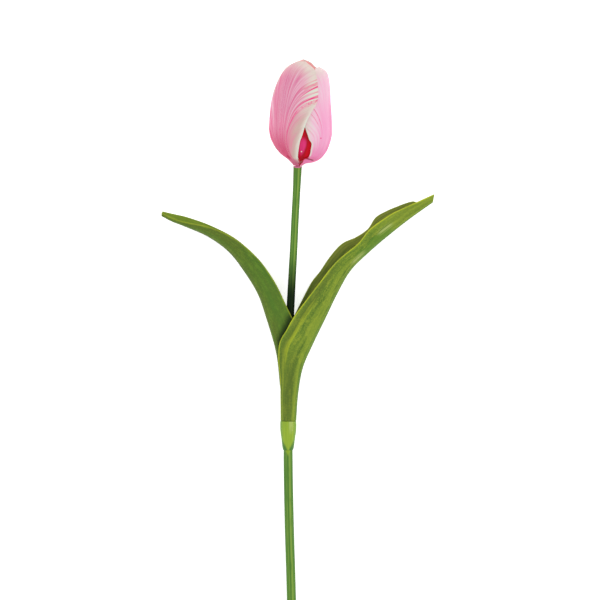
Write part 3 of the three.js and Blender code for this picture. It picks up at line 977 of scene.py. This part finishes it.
def right_leaf_finish(leaf):
    f = LeafFinish("right_leaf_skin", 3.0)
    tint = f.ground(leaf.deep, leaf.middle, leaf.light)
    glow = f.u.band(0.42, 0.1, 0.3) * f.v.rise(0.12, 0.3) * f.streaks.rise(0.38, 0.58)
    tint = f.blend(glow * 0.5, tint, leaf.light)
    upper = f.v.rise(0.7, 0.85) * (f.u + f.streaks * 0.5).rise(0.4, 0.8)
    tint = f.blend(upper * 0.5, tint, leaf.light)
    near_keel = (f.u + f.streaks * 0.3).fall(0.15, 0.5)
    tint = f.blend(near_keel * 0.6, tint, leaf.keel)
    clear = f.v.band(0.74, 0.05, 0.06) * (f.u + f.mottle * 0.4).band(0.55, 0.2, 0.2)
    tint = f.blend(clear * 0.6, tint, leaf.keel)
    under_rim = f.u.band(0.86, 0.04, 0.1) * f.v.fall(0.5, 0.7)
    tint = f.blend(under_rim * 0.5, tint, leaf.olive)
    # The sheath: dull in front, with lighter bands at both sides of that.
    sheath = f.v.fall(0.14, 0.3)
    tint = f.blend(sheath * f.u.band(0.6, 0.1, 0.16) * 0.6, tint, leaf.olive)
    tint = f.blend(sheath * (f.u + f.mottle * 0.1).band(0.37, 0.03, 0.09) * 0.6, tint, leaf.light)
    tint = f.blend(sheath * (f.u + f.mottle * 0.06).band(0.87, 0.01, 0.04) * 0.6, tint, leaf.light)
    second = (f.u + f.streaks * 0.2).band(0.88, 0.005, 0.05) * f.v.band(0.32, 0.08, 0.08)
    tint = f.blend(second * f.veins.rise(0.35, 0.55) * 0.5, tint, leaf.edge)
    # Painted highlights: two pale patches where light glints on the leaf.
    for v, u in ((0.655, 0.45), (0.8, 0.62)):
        highlight_patch = f.v.band(v, 0.015, 0.03) * f.u.band(u, 0.03, 0.16) * f.veins.rise(0.42, 0.54)
        tint = f.blend(highlight_patch * 0.7, tint, leaf.painted_highlight)
    # Painted shade: darker olive along the keel, where the leaf turns away from the light.
    tint = f.blend(f.u.fall(0.03, 0.16) * 0.7, tint, leaf.olive)
    hollow = f.blend(f.streaks.rise(0.36, 0.6) * 0.8, leaf.olive, leaf.bronze)
    hollow = f.blend(f.veins.fall(0.35, 0.5) * 0.5, hollow, leaf.deep)
    return f.close_leaf(tint, hollow, leaf, 1.0)


def left_leaf_finish(leaf):
    f = LeafFinish("left_leaf_skin", 8.0)
    tint = f.ground(leaf.deep, leaf.olive, leaf.middle)
    green = (f.u + f.streaks * 0.3).rise(0.4, 0.8) * f.v.fall(0.55, 0.7)
    tint = f.blend(green * 0.35, tint, leaf.keel)
    # Painted shadow, nearly black, where the other leaf's margin crosses it and shades it.
    fork = (f.v - f.u * 0.12).fall(0.26, 0.298) * f.u.rise(0.1, 0.4)
    tint = f.blend(fork * 0.85, tint, leaf.shade)
    # Painted shade: darker olive along the keel, where the leaf turns away from the light.
    tint = f.blend(f.u.fall(0.03, 0.16) * 0.6, tint, leaf.olive)
    # Painted shade: dark green along the keel, towards the tip.
    under = f.u.fall(0.05, 0.2) * f.v.band(0.74, 0.1, 0.1)
    tint = f.blend(under * 0.5, tint, leaf.shade)
    # Painted light: the hollow face turns lighter green towards the tip, where it lies open to the
    # light.
    bright = f.blend(f.veins.rise(0.4, 0.6) * 0.7, leaf.middle, leaf.light)
    hollow = f.blend(f.v.rise(0.62, 0.76), leaf.olive, bright)
    return f.close_leaf(tint, hollow, leaf, 0.45)


# Bloom

bloom_ahead = unit(np.array([BLOOM_LEAN, 1, STEM_PITCH]))
bloom_right = unit(np.cross(bloom_ahead, UP))
bloom_front = np.cross(bloom_right, bloom_ahead)
form_left, form_right = through(FORM_LEFT), through(FORM_RIGHT)


def in_bloom(angle, radius, height):
    turn = np.radians(angle)[..., None] if np.ndim(angle) else np.radians(angle)
    radius, height = np.asarray(radius)[..., None], np.asarray(height)[..., None]
    return (
        BLOOM_BASE
        + bloom_ahead * height
        + bloom_right * radius * np.cos(turn)
        + bloom_front * radius * np.sin(turn)
    )


def form_radius(angle, height):
    share = (1 - np.cos(np.radians(angle))) / 2
    return share * form_left(height) + (1 - share) * form_right(height)


def set_in(angle, height, depth):
    """A point set in from the bloom's form, square to it."""
    nudge = 0.05
    slope = form_radius(angle, height + nudge) - form_radius(angle, height - nudge)
    slope = slope / (2 * nudge)
    stretch = np.hypot(1, slope)
    radius = form_radius(angle, height) - depth / stretch
    return in_bloom(angle, radius, height + depth * slope / stretch)


def outer_lap(height, tip):
    return PETAL_LAP * eased(height, 1, 9) * (1 - 0.7 * eased(height, tip - 5, tip))


def inner_set_in(height):
    return lerp(INNER_SET_IN_AT_BASE, INNER_SET_IN, eased(height, 1, 8))


def across_veins(level):
    """Evenly spaced over a petal, in about millimetres, falling from the midrib to the margins."""
    return 228 / np.sqrt(np.hypot(level - 12, 10)) - 12


def petal_body(petal, margins, midrib, hand, lap_at, set_in_at, spread):
    """A petal, with its finish's facts: height, angle, reach from the midrib and vein lines.

    hand is 1 where reach grows as the angle falls, or -1.
    """
    base, tip = margins[0][0], margins[-1][0]
    over, under = column(margins, 1), column(margins, 2)
    thick, fold = petal.thickness / MM, petal.fold / MM

    def place(u, v):
        height = lerp(base, tip, v)
        return lerp(over(height), under(height), (u + 1) / 2), height

    def surface(u, v):
        angle, height = place(u, v)
        depth = thick / 2 + set_in_at(height) + u * lap_at(height, tip)
        return set_in(angle, height, depth)

    def reach_at(angle, height):
        return hand * form_radius(angle, height) * np.radians(midrib - angle)

    def relief(u, v):
        angle, height = place(u, v)
        reach = reach_at(angle, height)
        groove = -fold * np.exp(-((reach / 0.9) ** 2)) + 0.5 * fold * np.exp(-((reach / 3) ** 2))
        return groove * eased(height, 2, 10) * (1 - eased(height, tip - 8, tip))

    points, faces, facts = blade(
        surface,
        lambda u: thick - PETAL_THINNING * u**4,
        -1,
        PETAL_COLUMNS,
        PETAL_ROWS,
        relief,
    )
    angle, height = place(facts["u"], facts["v"])
    reach = reach_at(angle, height)
    level = height + spread / np.maximum(reach, VEIN_MIN_REACH)
    mirrored = height + spread / np.maximum(np.abs(reach), VEIN_MIN_REACH)
    vein = np.sign(reach) * across_veins(mirrored)
    facts.update(angle=angle, height=height, reach=reach, level=level, vein=vein)
    return points, faces, facts


class PetalFinish(Finish):
    """A petal's material, with what the petals' meshes carry."""

    def __init__(self, name, seed):
        super().__init__(name)
        for fact in ("height", "angle", "reach", "level", "vein", "lap", "rim", "outside"):
            setattr(self, fact, self.fact(fact))
        self.hair = self.noise(self.vein * 1.7, self.height * 0.03, seed, detail=2)
        self.lines = self.noise(self.vein * 1.1, self.height * 0.02, seed + 3, detail=2)
        self.dashes = self.noise(self.level * 1.6, self.reach * 1.1, seed + 6, detail=1)
        self.clouds = self.grain(0.16, detail=3)

    def spot(self, angle, height, wide, tall, soft=0.5):
        """1 in an oval of those half sizes in millimetres round a place of the bloom."""
        across = (self.angle - angle) * ARC_PER_DEGREE / wide
        along = (self.height - height) / tall
        away = across * across + along * along
        return away.fall(1 - soft, 1 + soft)

    def flame(self, level, half, run, drift=0.0):
        """1 on a streak along the veins that narrows from the margin and ends run from it."""
        width = half * (1 - self.lap / run)
        return (width - abs(self.level + self.lap * drift - level)).rise(-0.16, 0.16)

    def close_petal(self, tint, petal, gloss=0.06, glow=0.04, lit=None):
        """The petal glows by glow in its own colour, as painted light. lit, where given, is the share of
        the inner face that glows, painted light standing in for light through the petal.
        """
        inner = self.blend(self.lines.rise(0.4, 0.6) * 0.5, petal.salmon, petal.rose)
        inner = self.blend(self.height.rise(44, 54), inner, petal.salmon)
        shown = self.blend(self.outside.fall(0.05, 0.4), tint, inner)
        light = shown if lit is None else self.blend(lit, BLACK, shown)
        rough = 0.46 + 0.14 * self.clouds
        relief = self.hair * 0.5 + self.lines * 0.5
        return self.close(shown, rough, relief, 0.09, gloss=gloss, glow=glow, glow_colour=light)


def left_petal_finish(petal):
    f = PetalFinish("left_petal_paint", 2.3)
    # Pink, deeper towards the base, with fine veins.
    tint = f.blend(f.height.fall(20, 40) * f.reach.fall(0, 9) * 0.9, petal.pink, petal.rose)
    upper = f.reach.band(3.5, 3, 4) * f.height.rise(24, 36) * f.height.fall(48, 58)
    tint = f.blend(upper * 0.6, tint, petal.mauve)
    rib = f.reach.band(-2.2, 0.5, 1.6) * f.height.rise(4, 12) * f.height.fall(34, 46)
    tint = f.blend(rib * 0.7, tint, petal.deep)
    tint = f.blend(f.hair.rise(0.47, 0.56) * 0.6, tint, petal.blush)
    tint = f.blend(f.lines.rise(0.5, 0.58) * 0.5, tint, petal.deep)
    foot = (f.height + f.hair * 4).fall(8, 27) * (f.reach + f.hair * 3).fall(4, 11)
    tint = f.blend(foot * 0.85, tint, petal.magenta)
    # Cream along the right margin above, drawn out into the pink by the veins.
    comb = f.lap + f.hair * 9 + f.lines * 5
    edge = comb.fall(9, 17) * f.height.rise(24, 32)
    tint = f.blend(edge * 0.92, tint, petal.cream)
    # Beige below the lowest streak.
    ground = f.blend((f.lap + f.hair * 2).rise(1.4, 4), petal.cream, petal.beige)
    ground = f.blend(f.hair.rise(0.46, 0.58) * 0.5 * f.lap.rise(1.5, 6), ground, petal.pink)
    ground = f.blend(f.lap.rise(4, 11) * f.lines.rise(0.42, 0.58) * 0.4, ground, petal.rose)
    ground = f.blend((f.lap + f.hair * 3).rise(3.5, 8) * f.height.fall(12, 24) * 0.7, ground, petal.rose)
    fray = f.level + f.hair * 7 + f.lines * 5
    tint = f.blend(fray.fall(41, 50) * 0.96, tint, ground)
    tip = (f.height + f.hair * 12 + f.lines * 8).rise(58, 72)
    tint = f.blend(tip * 0.8, tint, petal.ivory)
    far = (f.angle + f.hair * 30 + f.lines * 14).band(195, 5, 14) * f.height.rise(34, 46)
    tint = f.blend(far * 0.9, tint, petal.ivory)
    side = f.angle.band(173, 1, 5) * f.height.band(34, 2, 6) * f.hair.rise(0.36, 0.54)
    tint = f.blend(side * 0.6, tint, petal.streak)
    # Flamed streaks between mint ones, from the margin inward.
    salmon = f.flame(53.8, 1.0, 24) * f.lap.fall(7.5, 9)
    tint = f.blend(salmon * (0.55 + 0.35 * f.dashes.rise(0.4, 0.6)), tint, petal.flame)
    marks = (
        (f.flame(56.2, 0.3, 9), 0.8, petal.flame),
        (f.flame(55.1, 0.22, 12), 0.8, petal.mint),
        (f.flame(50.2, 0.6, 15), 0.85, petal.mint),
        (f.flame(51.9, 0.2, 34, 0.12), 0.6, petal.flame),
        (f.flame(52.0, 0.55, 15, 0.12), 0.95, petal.streak),
        (f.flame(47.7, 0.7, 13), 0.8, petal.mint),
        (f.flame(48.8, 0.34, 9), 0.8, petal.flame),
        (f.flame(46.0, 0.2, 20), 0.5, petal.flame),
        (f.flame(46.1, 0.95, 11.5), 0.65, petal.streak),
        (f.flame(46.1, 0.8, 11.5) * f.lap.rise(1, 4), 0.9, petal.streak),
        (f.flame(44.9, 0.3, 20), 0.8, petal.mint),
    )
    for mark, strength, hue in marks:
        tint = f.blend(mark * strength, tint, hue)
    broken = f.dashes.rise(0.42, 0.56)
    for level, half, strength in ((44.1, 0.42, 0.9), (43.2, 0.42, 0.7), (42.2, 0.3, 0.4)):
        mark = f.flame(level, half, 30) * (0.25 + 0.75 * broken) * f.lap.fall(10, 16)
        tint = f.blend(mark * strength, tint, petal.streak)
    knot = f.level.band(43.4, 0.35, 0.5) * f.lap.band(10.8, 1.6, 1.4)
    tint = f.blend(knot * 0.8, tint, petal.streak)
    # The pale edge of the slit, and painted shade at the foot: a crimson spot and a dark mark.
    line = f.lap.fall(0.5, 1.1) * f.height.fall(26, 34) * f.height.rise(2.5, 4)
    tint = f.blend(line * 0.8, tint, petal.mint)
    tint = f.blend(f.spot(124, 4.7, 1.6, 1.2) * 0.75, tint, petal.crimson)
    low = (f.height + f.hair * 2).fall(3, 6)
    tint = f.blend(low * 0.8, tint, petal.flesh)
    tint = f.blend(f.height.rise(59.0, 59.4) * 0.8, tint, petal.salmon)
    tint = f.blend(f.spot(81, 1.4, 1.2, 0.55) * 0.8, tint, petal.foot_shade)
    tint = f.blend(f.lap.fall(0.2, 0.6) * f.height.fall(3.5, 4.5) * 0.9, tint, petal.red)
    return f.close_petal(tint, petal)


def right_petal_finish(petal):
    f = PetalFinish("right_petal_paint", 5.1)
    tint = f.blend((f.height + f.hair * 6).rise(26, 48) * 0.6, petal.lilac, petal.blush)
    pale = (f.reach + f.hair * 6 + f.lines * 4).rise(11, 19)
    tint = f.blend(pale * 0.85, tint, petal.blush)
    tint = f.blend(f.hair.rise(0.47, 0.57) * 0.45, tint, petal.blush)
    tint = f.blend(f.lines.rise(0.5, 0.62) * 0.35, tint, petal.lilac)
    side = (f.reach + f.hair * 2).fall(-4, 3) * f.height.fall(30, 48)
    tint = f.blend(side * 0.75, tint, petal.flush)
    edge = (f.height + f.reach * 0.25 + f.hair * 8).rise(52, 62)
    tint = f.blend(edge * 0.8, tint, petal.cream)
    slit = (f.reach + f.hair * 4).rise(15.5, 19) * f.height.fall(26, 34) * f.height.rise(8, 14)
    tint = f.blend(slit * 0.6, tint, petal.cream)
    foot = (f.height + f.hair * 3).fall(3, 18) * (f.reach + f.hair * 4).fall(10, 17)
    tint = f.blend(foot * 0.8, tint, petal.flush)
    tint = f.blend(f.height.fall(2, 7) * 0.7, tint, petal.rose)
    # Streak: level of the vein, half width, where it starts and ends in reach, strength.
    streaks = (
        (48.5, 0.5, 7.4, 13.4, 0.75, petal.streak),
        (45.8, 0.5, 8.5, 14, 0.7, petal.blush),
        (43.4, 0.4, 10.2, 15, 0.65, petal.streak),
        (41.0, 0.4, 10.5, 16, 0.7, petal.blush),
        (37.0, 0.4, 12, 18, 0.6, petal.mint),
        (56.5, 0.4, 6, 12, 0.25, petal.streak),
        (33.0, 0.4, 12, 18, 0.3, petal.streak),
    )
    for level, half, start, end, strength, hue in streaks:
        mark = abs(f.level - level).fall(half * 0.4, half * 1.6)
        mark = mark * f.reach.rise(start - 0.8, start + 0.8) * f.reach.fall(end - 0.8, end + 0.8)
        tint = f.blend(mark * (0.5 + 0.5 * f.dashes.rise(0.35, 0.6)) * strength, tint, hue)
    line = f.rim.fall(0.5, 1.1) * f.reach.rise(5, 8) * f.height.fall(26, 34) * f.height.rise(4.5, 6)
    tint = f.blend(line * 0.8, tint, petal.mint)
    tint = f.blend(f.spot(44.5, 16.4, 0.6, 0.45) * 0.7, tint, petal.streak)
    # The crease over the foot as painted shade, the bright lobe under it and the red in the slit's tail.
    lobe = f.angle.rise(28, 38) * f.angle.fall(62, 70) * f.height.band(2.2, 0.7, 0.8)
    tint = f.blend(lobe * 0.8, tint, petal.lobe)
    low = f.height.fall(0.8, 2.0)
    tint = f.blend(low * 0.7, tint, petal.rose)
    crease = (f.height - f.angle * 0.028).band(2.35, 0.16, 0.25) * f.angle.band(50, 12, 6)
    tint = f.blend(crease * 0.85, tint, petal.foot_shade)
    red = f.rim.fall(0.2, 0.6) * f.angle.rise(50, 56) * f.height.fall(3.6, 4.6)
    tint = f.blend(red * 0.9, tint, petal.red)
    return f.close_petal(tint, petal)


def back_petal_finish(petal):
    f = PetalFinish("back_petal_paint", 8.4)
    tint = f.blend(f.lines.rise(0.4, 0.6), petal.pink, petal.blush)
    tint = f.blend(f.reach.band(0, 2, 4) * f.height.fall(30, 48) * 0.8, tint, petal.rose)
    tint = f.blend(f.height.fall(4, 16) * 0.6, tint, petal.magenta)
    comb = f.rim + f.hair * 5
    tint = f.blend(comb.fall(4, 9) * f.height.rise(8, 20) * 0.9, tint, petal.cream)
    # Painted light: the inner face of the thin tip glows, standing in for daylight through it.
    lit = f.height.rise(50, 55) * f.outside.fall(0.3, 0.7)
    return f.close_petal(tint, petal, glow=0.6, lit=lit)


def front_inner_finish(petal):
    f = PetalFinish("inner_petal_red_paint", 11.7)
    # Painted shade: dark red on the inner petal where the left petal's margin shades the slit.
    dark = f.angle.band(73, 3, 5)
    tint = f.blend(dark * 0.7, petal.red, petal.shade_and_vein_red)
    tint = f.blend(f.angle.rise(80, 88), tint, petal.crimson)
    tint = f.blend(f.lines.rise(0.4, 0.6) * 0.3, tint, petal.shade_and_vein_red)
    # Magenta oval on the inner petal's belly: partly its own colour, partly a painted sheen.
    oval = f.spot(79.5, 10.2, 2.0, 5.0, 0.85)
    tint = f.blend(oval, tint, petal.oval)
    # Painted highlight: a pale glint on the inner petal's belly.
    painted_glint = f.spot(80, 6.7, 0.45, 0.4)
    tint = f.blend(painted_glint * 0.9, tint, petal.cream)
    tint = f.blend(f.height.rise(26, 40), tint, petal.rose)
    # The inner petal glows a little, as painted light, to lift the shade in the slit.
    return f.close_petal(tint, petal, glow=0.3)


def side_inner_finish(petal):
    f = PetalFinish("inner_petal_paint", 14.2)
    tint = f.blend(f.lines.rise(0.4, 0.6), petal.rose, petal.pink)
    tint = f.blend(f.height.fall(4, 20) * 0.7, tint, petal.crimson)
    comb = f.rim + f.hair * 4
    tint = f.blend(comb.fall(3, 7) * 0.8, tint, petal.cream)
    # The inner petals glow a little, as painted light, to lift the shade inside the bloom.
    return f.close_petal(tint, petal, glow=0.2)


# Heart of the bloom


def on_axis(height):
    return in_bloom(0, np.zeros_like(height), height)


def three_lobed(depth):
    return lambda turn, place: 1 + depth * np.cos(3 * turn)


def ovary_body():
    radius = through([(PISTIL_FOOT, 1.1), (5, 1.7), (10, 2.4), (15, 2.1), (STIGMA_FOOT - 0.3, 1.7)])
    places = PISTIL_FOOT + (STIGMA_FOOT - 0.3 - PISTIL_FOOT) * dense_ends(48, 0.5)
    return round_body(on_axis, places, radius(places), 60, three_lobed(0.12))


def stigma_body():
    radius = through([(0, 1.6), (1.2, 2.7), (2.4, 2.9), (3.2, 2.0)])
    rise = np.linspace(0, 3.2, 24)
    places = [*(STIGMA_FOOT + rise), STIGMA_FOOT + 3.1, STIGMA_FOOT + 2.9]
    radii = [*radius(rise), 1.2, 0.2]

    def frilled(turn, place):
        high = eased(place, STIGMA_FOOT + 0.8, STIGMA_FOOT + 2.4)
        return 1 + 0.3 * np.cos(3 * turn) + 0.03 * high * np.cos(24 * turn)

    return round_body(on_axis, places, radii, 96, frilled)


def stamen_line(angle):
    lean = through([(PISTIL_FOOT, 2.15), (FILAMENT_TOP, 4.6), (ANTHER_TOP, 5.6)])
    return lambda height: in_bloom(np.full_like(height, angle), lean(height), height)


def filament_body(angle):
    places = np.linspace(PISTIL_FOOT, FILAMENT_TOP, 24)
    radius = through([(PISTIL_FOOT, 0.45), (FILAMENT_TOP, 0.35)])
    return round_body(stamen_line(angle), places, radius(places), 24)


def anther_body(angle):
    radius = through([(FILAMENT_TOP, 0.6), (11, 1.05), (16, 0.95), (ANTHER_TOP, 0.4)])
    places = FILAMENT_TOP + 0.3 + (ANTHER_TOP - FILAMENT_TOP - 0.3) * dense_ends(40, 0.6)

    def furrowed(turn, place):
        return 1 - 0.14 * np.exp(-((np.sin(2 * turn) / 0.35) ** 2))

    return round_body(stamen_line(angle), places, radius(places), 40, furrowed)


def heart_finish(name, ground, fleck, fleck_share, depth, rough=0.5):
    f = Finish(name)
    clouds, grains = f.grain(0.9, detail=3), f.grain(4, detail=2)
    tint = f.blend(clouds.rise(0.4, 0.65) * 0.4, ground, fleck)
    tint = f.blend(grains.rise(0.52, 0.64) * fleck_share, tint, fleck)
    return f.close(tint, rough + 0.15 * clouds, grains, depth, gloss=0.25)


# Operators


class TULIP_OT_stem(bpy.types.Operator):
    """Builds the stem, with its cut face and the head inside the bloom."""

    bl_idname = "tulip.stem"
    bl_label = "Stem"

    def execute(self, context):
        stem = read("stem")
        add_piece("flower_stem", "stem", stem_body(stem), stem_finish(stem))
        return {"FINISHED"}


class TULIP_OT_collar(bpy.types.Operator):
    """Builds the pale collar at the foot of the leaf sheath."""

    bl_idname = "tulip.collar"
    bl_label = "Sheath collar"

    def execute(self, context):
        finish = collar_finish(read("stem"))
        add_piece("leaf_sheath_collar", "sheath_collar", collar_body(), finish)
        return {"FINISHED"}


class TULIP_OT_leaves(bpy.types.Operator):
    """Builds both leaves, each a gutter that wraps the stem low down."""

    bl_idname = "tulip.leaves"
    bl_label = "Leaves"

    def execute(self, context):
        leaf = read("leaf")
        leaves = (
            ("right", 1, RIGHT_LEAF_KEEL, RIGHT_LEAF_FORM, right_leaf_finish),
            ("left", -1, LEFT_LEAF_KEEL, LEFT_LEAF_FORM, left_leaf_finish),
        )
        for seed, (name, side, keel, form, finish) in enumerate(leaves):
            body = leaf_body(leaf, side, keel, form, LEAF_SLANT[name], seed)
            add_piece(f"{name}_leaf", f"leaf_{name}", body, finish(leaf))
        return {"FINISHED"}


class TULIP_OT_outer_petals(bpy.types.Operator):
    """Builds the three outer petals, each lapping over the next."""

    bl_idname = "tulip.outer_petals"
    bl_label = "Outer petals"

    def execute(self, context):
        petal = read("petal")
        petals = (
            ("left", LEFT_MARGINS, 1, left_petal_finish),
            ("right", RIGHT_MARGINS, -1, right_petal_finish),
            ("back", BACK_MARGINS, 1, back_petal_finish),
        )
        for name, margins, hand, finish in petals:
            body = petal_body(
                petal, margins, MIDRIB[name], hand, outer_lap, lambda height: 0, VEIN_SPREAD[name]
            )
            add_piece(f"{name}_petal", f"petal_outer_{name}", body, finish(petal))
        return {"FINISHED"}


class TULIP_OT_inner_petals(bpy.types.Operator):
    """Builds the three inner petals behind the gaps of the outer ones."""

    bl_idname = "tulip.inner_petals"
    bl_label = "Inner petals"

    def execute(self, context):
        petal = read("petal")
        half_width = through(INNER_HALF_WIDTH)
        plain = side_inner_finish(petal)
        for name, middle in INNER_MIDDLE.items():
            heights = np.linspace(INNER_BASE[name], INNER_TIP, 13)
            margins = [(h, middle - half_width(h), middle + half_width(h)) for h in heights]
            body = petal_body(
                petal, margins, middle, 1, lambda height, tip: 0, inner_set_in, VEIN_SPREAD["inner"]
            )
            front = name == "front"
            finish = front_inner_finish(petal) if front else plain
            add_piece(f"inner_petal_{name}", f"petal_inner_{name}", body, finish)
        return {"FINISHED"}


class TULIP_OT_pistil(bpy.types.Operator):
    """Builds the ovary and the stigma on it."""

    bl_idname = "tulip.pistil"
    bl_label = "Pistil"

    def execute(self, context):
        heart = read("heart")
        green = heart_finish("ovary_skin", heart.ovary, heart.stigma, 0.2, 0.04)
        cream = heart_finish("stigma_skin", heart.stigma, heart.ovary, 0.3, 0.1, 0.6)
        add_piece("ovary", "pistil_ovary", ovary_body(), green)
        add_piece("stigma", "pistil_stigma", stigma_body(), cream)
        return {"FINISHED"}


class TULIP_OT_stamens(bpy.types.Operator):
    """Builds the ring of stamens round the pistil."""

    bl_idname = "tulip.stamens"
    bl_label = "Stamens"

    def execute(self, context):
        heart = read("heart")
        stalk = heart_finish("filament_skin", heart.filament, heart.ovary, 0.2, 0.02)
        sac = heart_finish("anther_skin", heart.anther, heart.pollen, 0.5, 0.12, 0.75)
        for n in range(STAMENS):
            angle = 360 / STAMENS * (n + 0.5)
            part = f"stamen_filament_{n + 1}"
            add_piece(f"filament_{n + 1}", part, filament_body(angle), stalk)
            part = f"stamen_anther_{n + 1}"
            add_piece(f"anther_{n + 1}", part, anther_body(angle), sac)
        return {"FINISHED"}


class TULIP_OT_stage(bpy.types.Operator):
    """Lays the floor and sets the lights and the camera."""

    bl_idname = "tulip.stage"
    bl_label = "Stage"

    def execute(self, context):
        stage = read("stage")
        half = stage.floor_size / 2
        mesh = bpy.data.meshes.new("floor")
        corners = [(-half, -half), (half, -half), (half, half), (-half, half)]
        mesh.from_pydata([(x, y, -FLOOR_DROP * MM) for x, y in corners], [], [(0, 1, 2, 3)])
        f = Finish("floor_paper")
        paper = f.close(stage.floor, 0.9, f.grain(0.5), 0.02, gloss=0.1, glow=FLOOR_GLOW)
        mesh.materials.append(paper)
        floor = bpy.data.objects.new("floor", mesh)
        context.scene.collection.objects.link(floor)

        world = bpy.data.worlds.new("studio")
        world.use_nodes = True
        background = world.node_tree.nodes["Background"].inputs
        background["Color"].default_value = opaque(WHITE)
        background["Strength"].default_value = SURROUNDING_LIGHT
        context.scene.world = world
        for name, place, width, power in LIGHTS:
            light = bpy.data.lights.new(name, "AREA")
            light.size = width
            light.energy = power
            lamp = bpy.data.objects.new(name, light)
            lamp.location = place
            lamp.rotation_euler = (-Vector(place)).to_track_quat("-Z", "Y").to_euler()
            context.scene.collection.objects.link(lamp)

        camera = bpy.data.cameras.new("camera")
        camera.lens = stage.lens
        camera.sensor_width = SENSOR_WIDTH
        camera.clip_end = CAMERA_REACH
        eye = bpy.data.objects.new("camera", camera)
        eye.location = (CAMERA_AIM[0] * MM, CAMERA_AIM[1] * MM, stage.camera_height)
        context.scene.collection.objects.link(eye)
        context.scene.camera = eye
        context.scene.view_settings.view_transform = "Standard"
        return {"FINISHED"}


class TULIP_PT_sidebar(bpy.types.Panel):
    """Lists the flower's settings and the steps that build it."""

    bl_idname = "TULIP_PT_sidebar"
    bl_label = "Cut tulip stem"
    bl_space_type = "VIEW_3D"
    bl_region_type = "UI"
    bl_category = "Tulip"

    def draw(self, context):
        for name, group in GROUPS.items():
            box = self.layout.box()
            box.label(text=name.capitalize())
            for prop in group.__annotations__:
                box.prop(read(name), prop)
        for step in STEPS:
            self.layout.operator(step.bl_idname)


GROUPS = {
    "stem": TulipStemSettings,
    "leaf": TulipLeafSettings,
    "petal": TulipPetalSettings,
    "heart": TulipHeartSettings,
    "stage": TulipStageSettings,
}
STEPS = (
    TULIP_OT_stem,
    TULIP_OT_collar,
    TULIP_OT_leaves,
    TULIP_OT_outer_petals,
    TULIP_OT_inner_petals,
    TULIP_OT_pistil,
    TULIP_OT_stamens,
    TULIP_OT_stage,
)


def register():
    for kind in (*GROUPS.values(), *STEPS, TULIP_PT_sidebar):
        bpy.utils.register_class(kind)
    for name, group in GROUPS.items():
        setattr(bpy.types.Scene, "tulip_" + name, PointerProperty(type=group))


def unregister():
    for name in GROUPS:
        delattr(bpy.types.Scene, "tulip_" + name)
    for kind in reversed((*GROUPS.values(), *STEPS, TULIP_PT_sidebar)):
        bpy.utils.unregister_class(kind)


def main():
    register()
    bpy.ops.tulip.stem()
    bpy.ops.tulip.collar()
    bpy.ops.tulip.leaves()
    bpy.ops.tulip.outer_petals()
    bpy.ops.tulip.inner_petals()
    bpy.ops.tulip.pistil()
    bpy.ops.tulip.stamens()
    bpy.ops.tulip.stage()


if __name__ == "__main__":
    main()
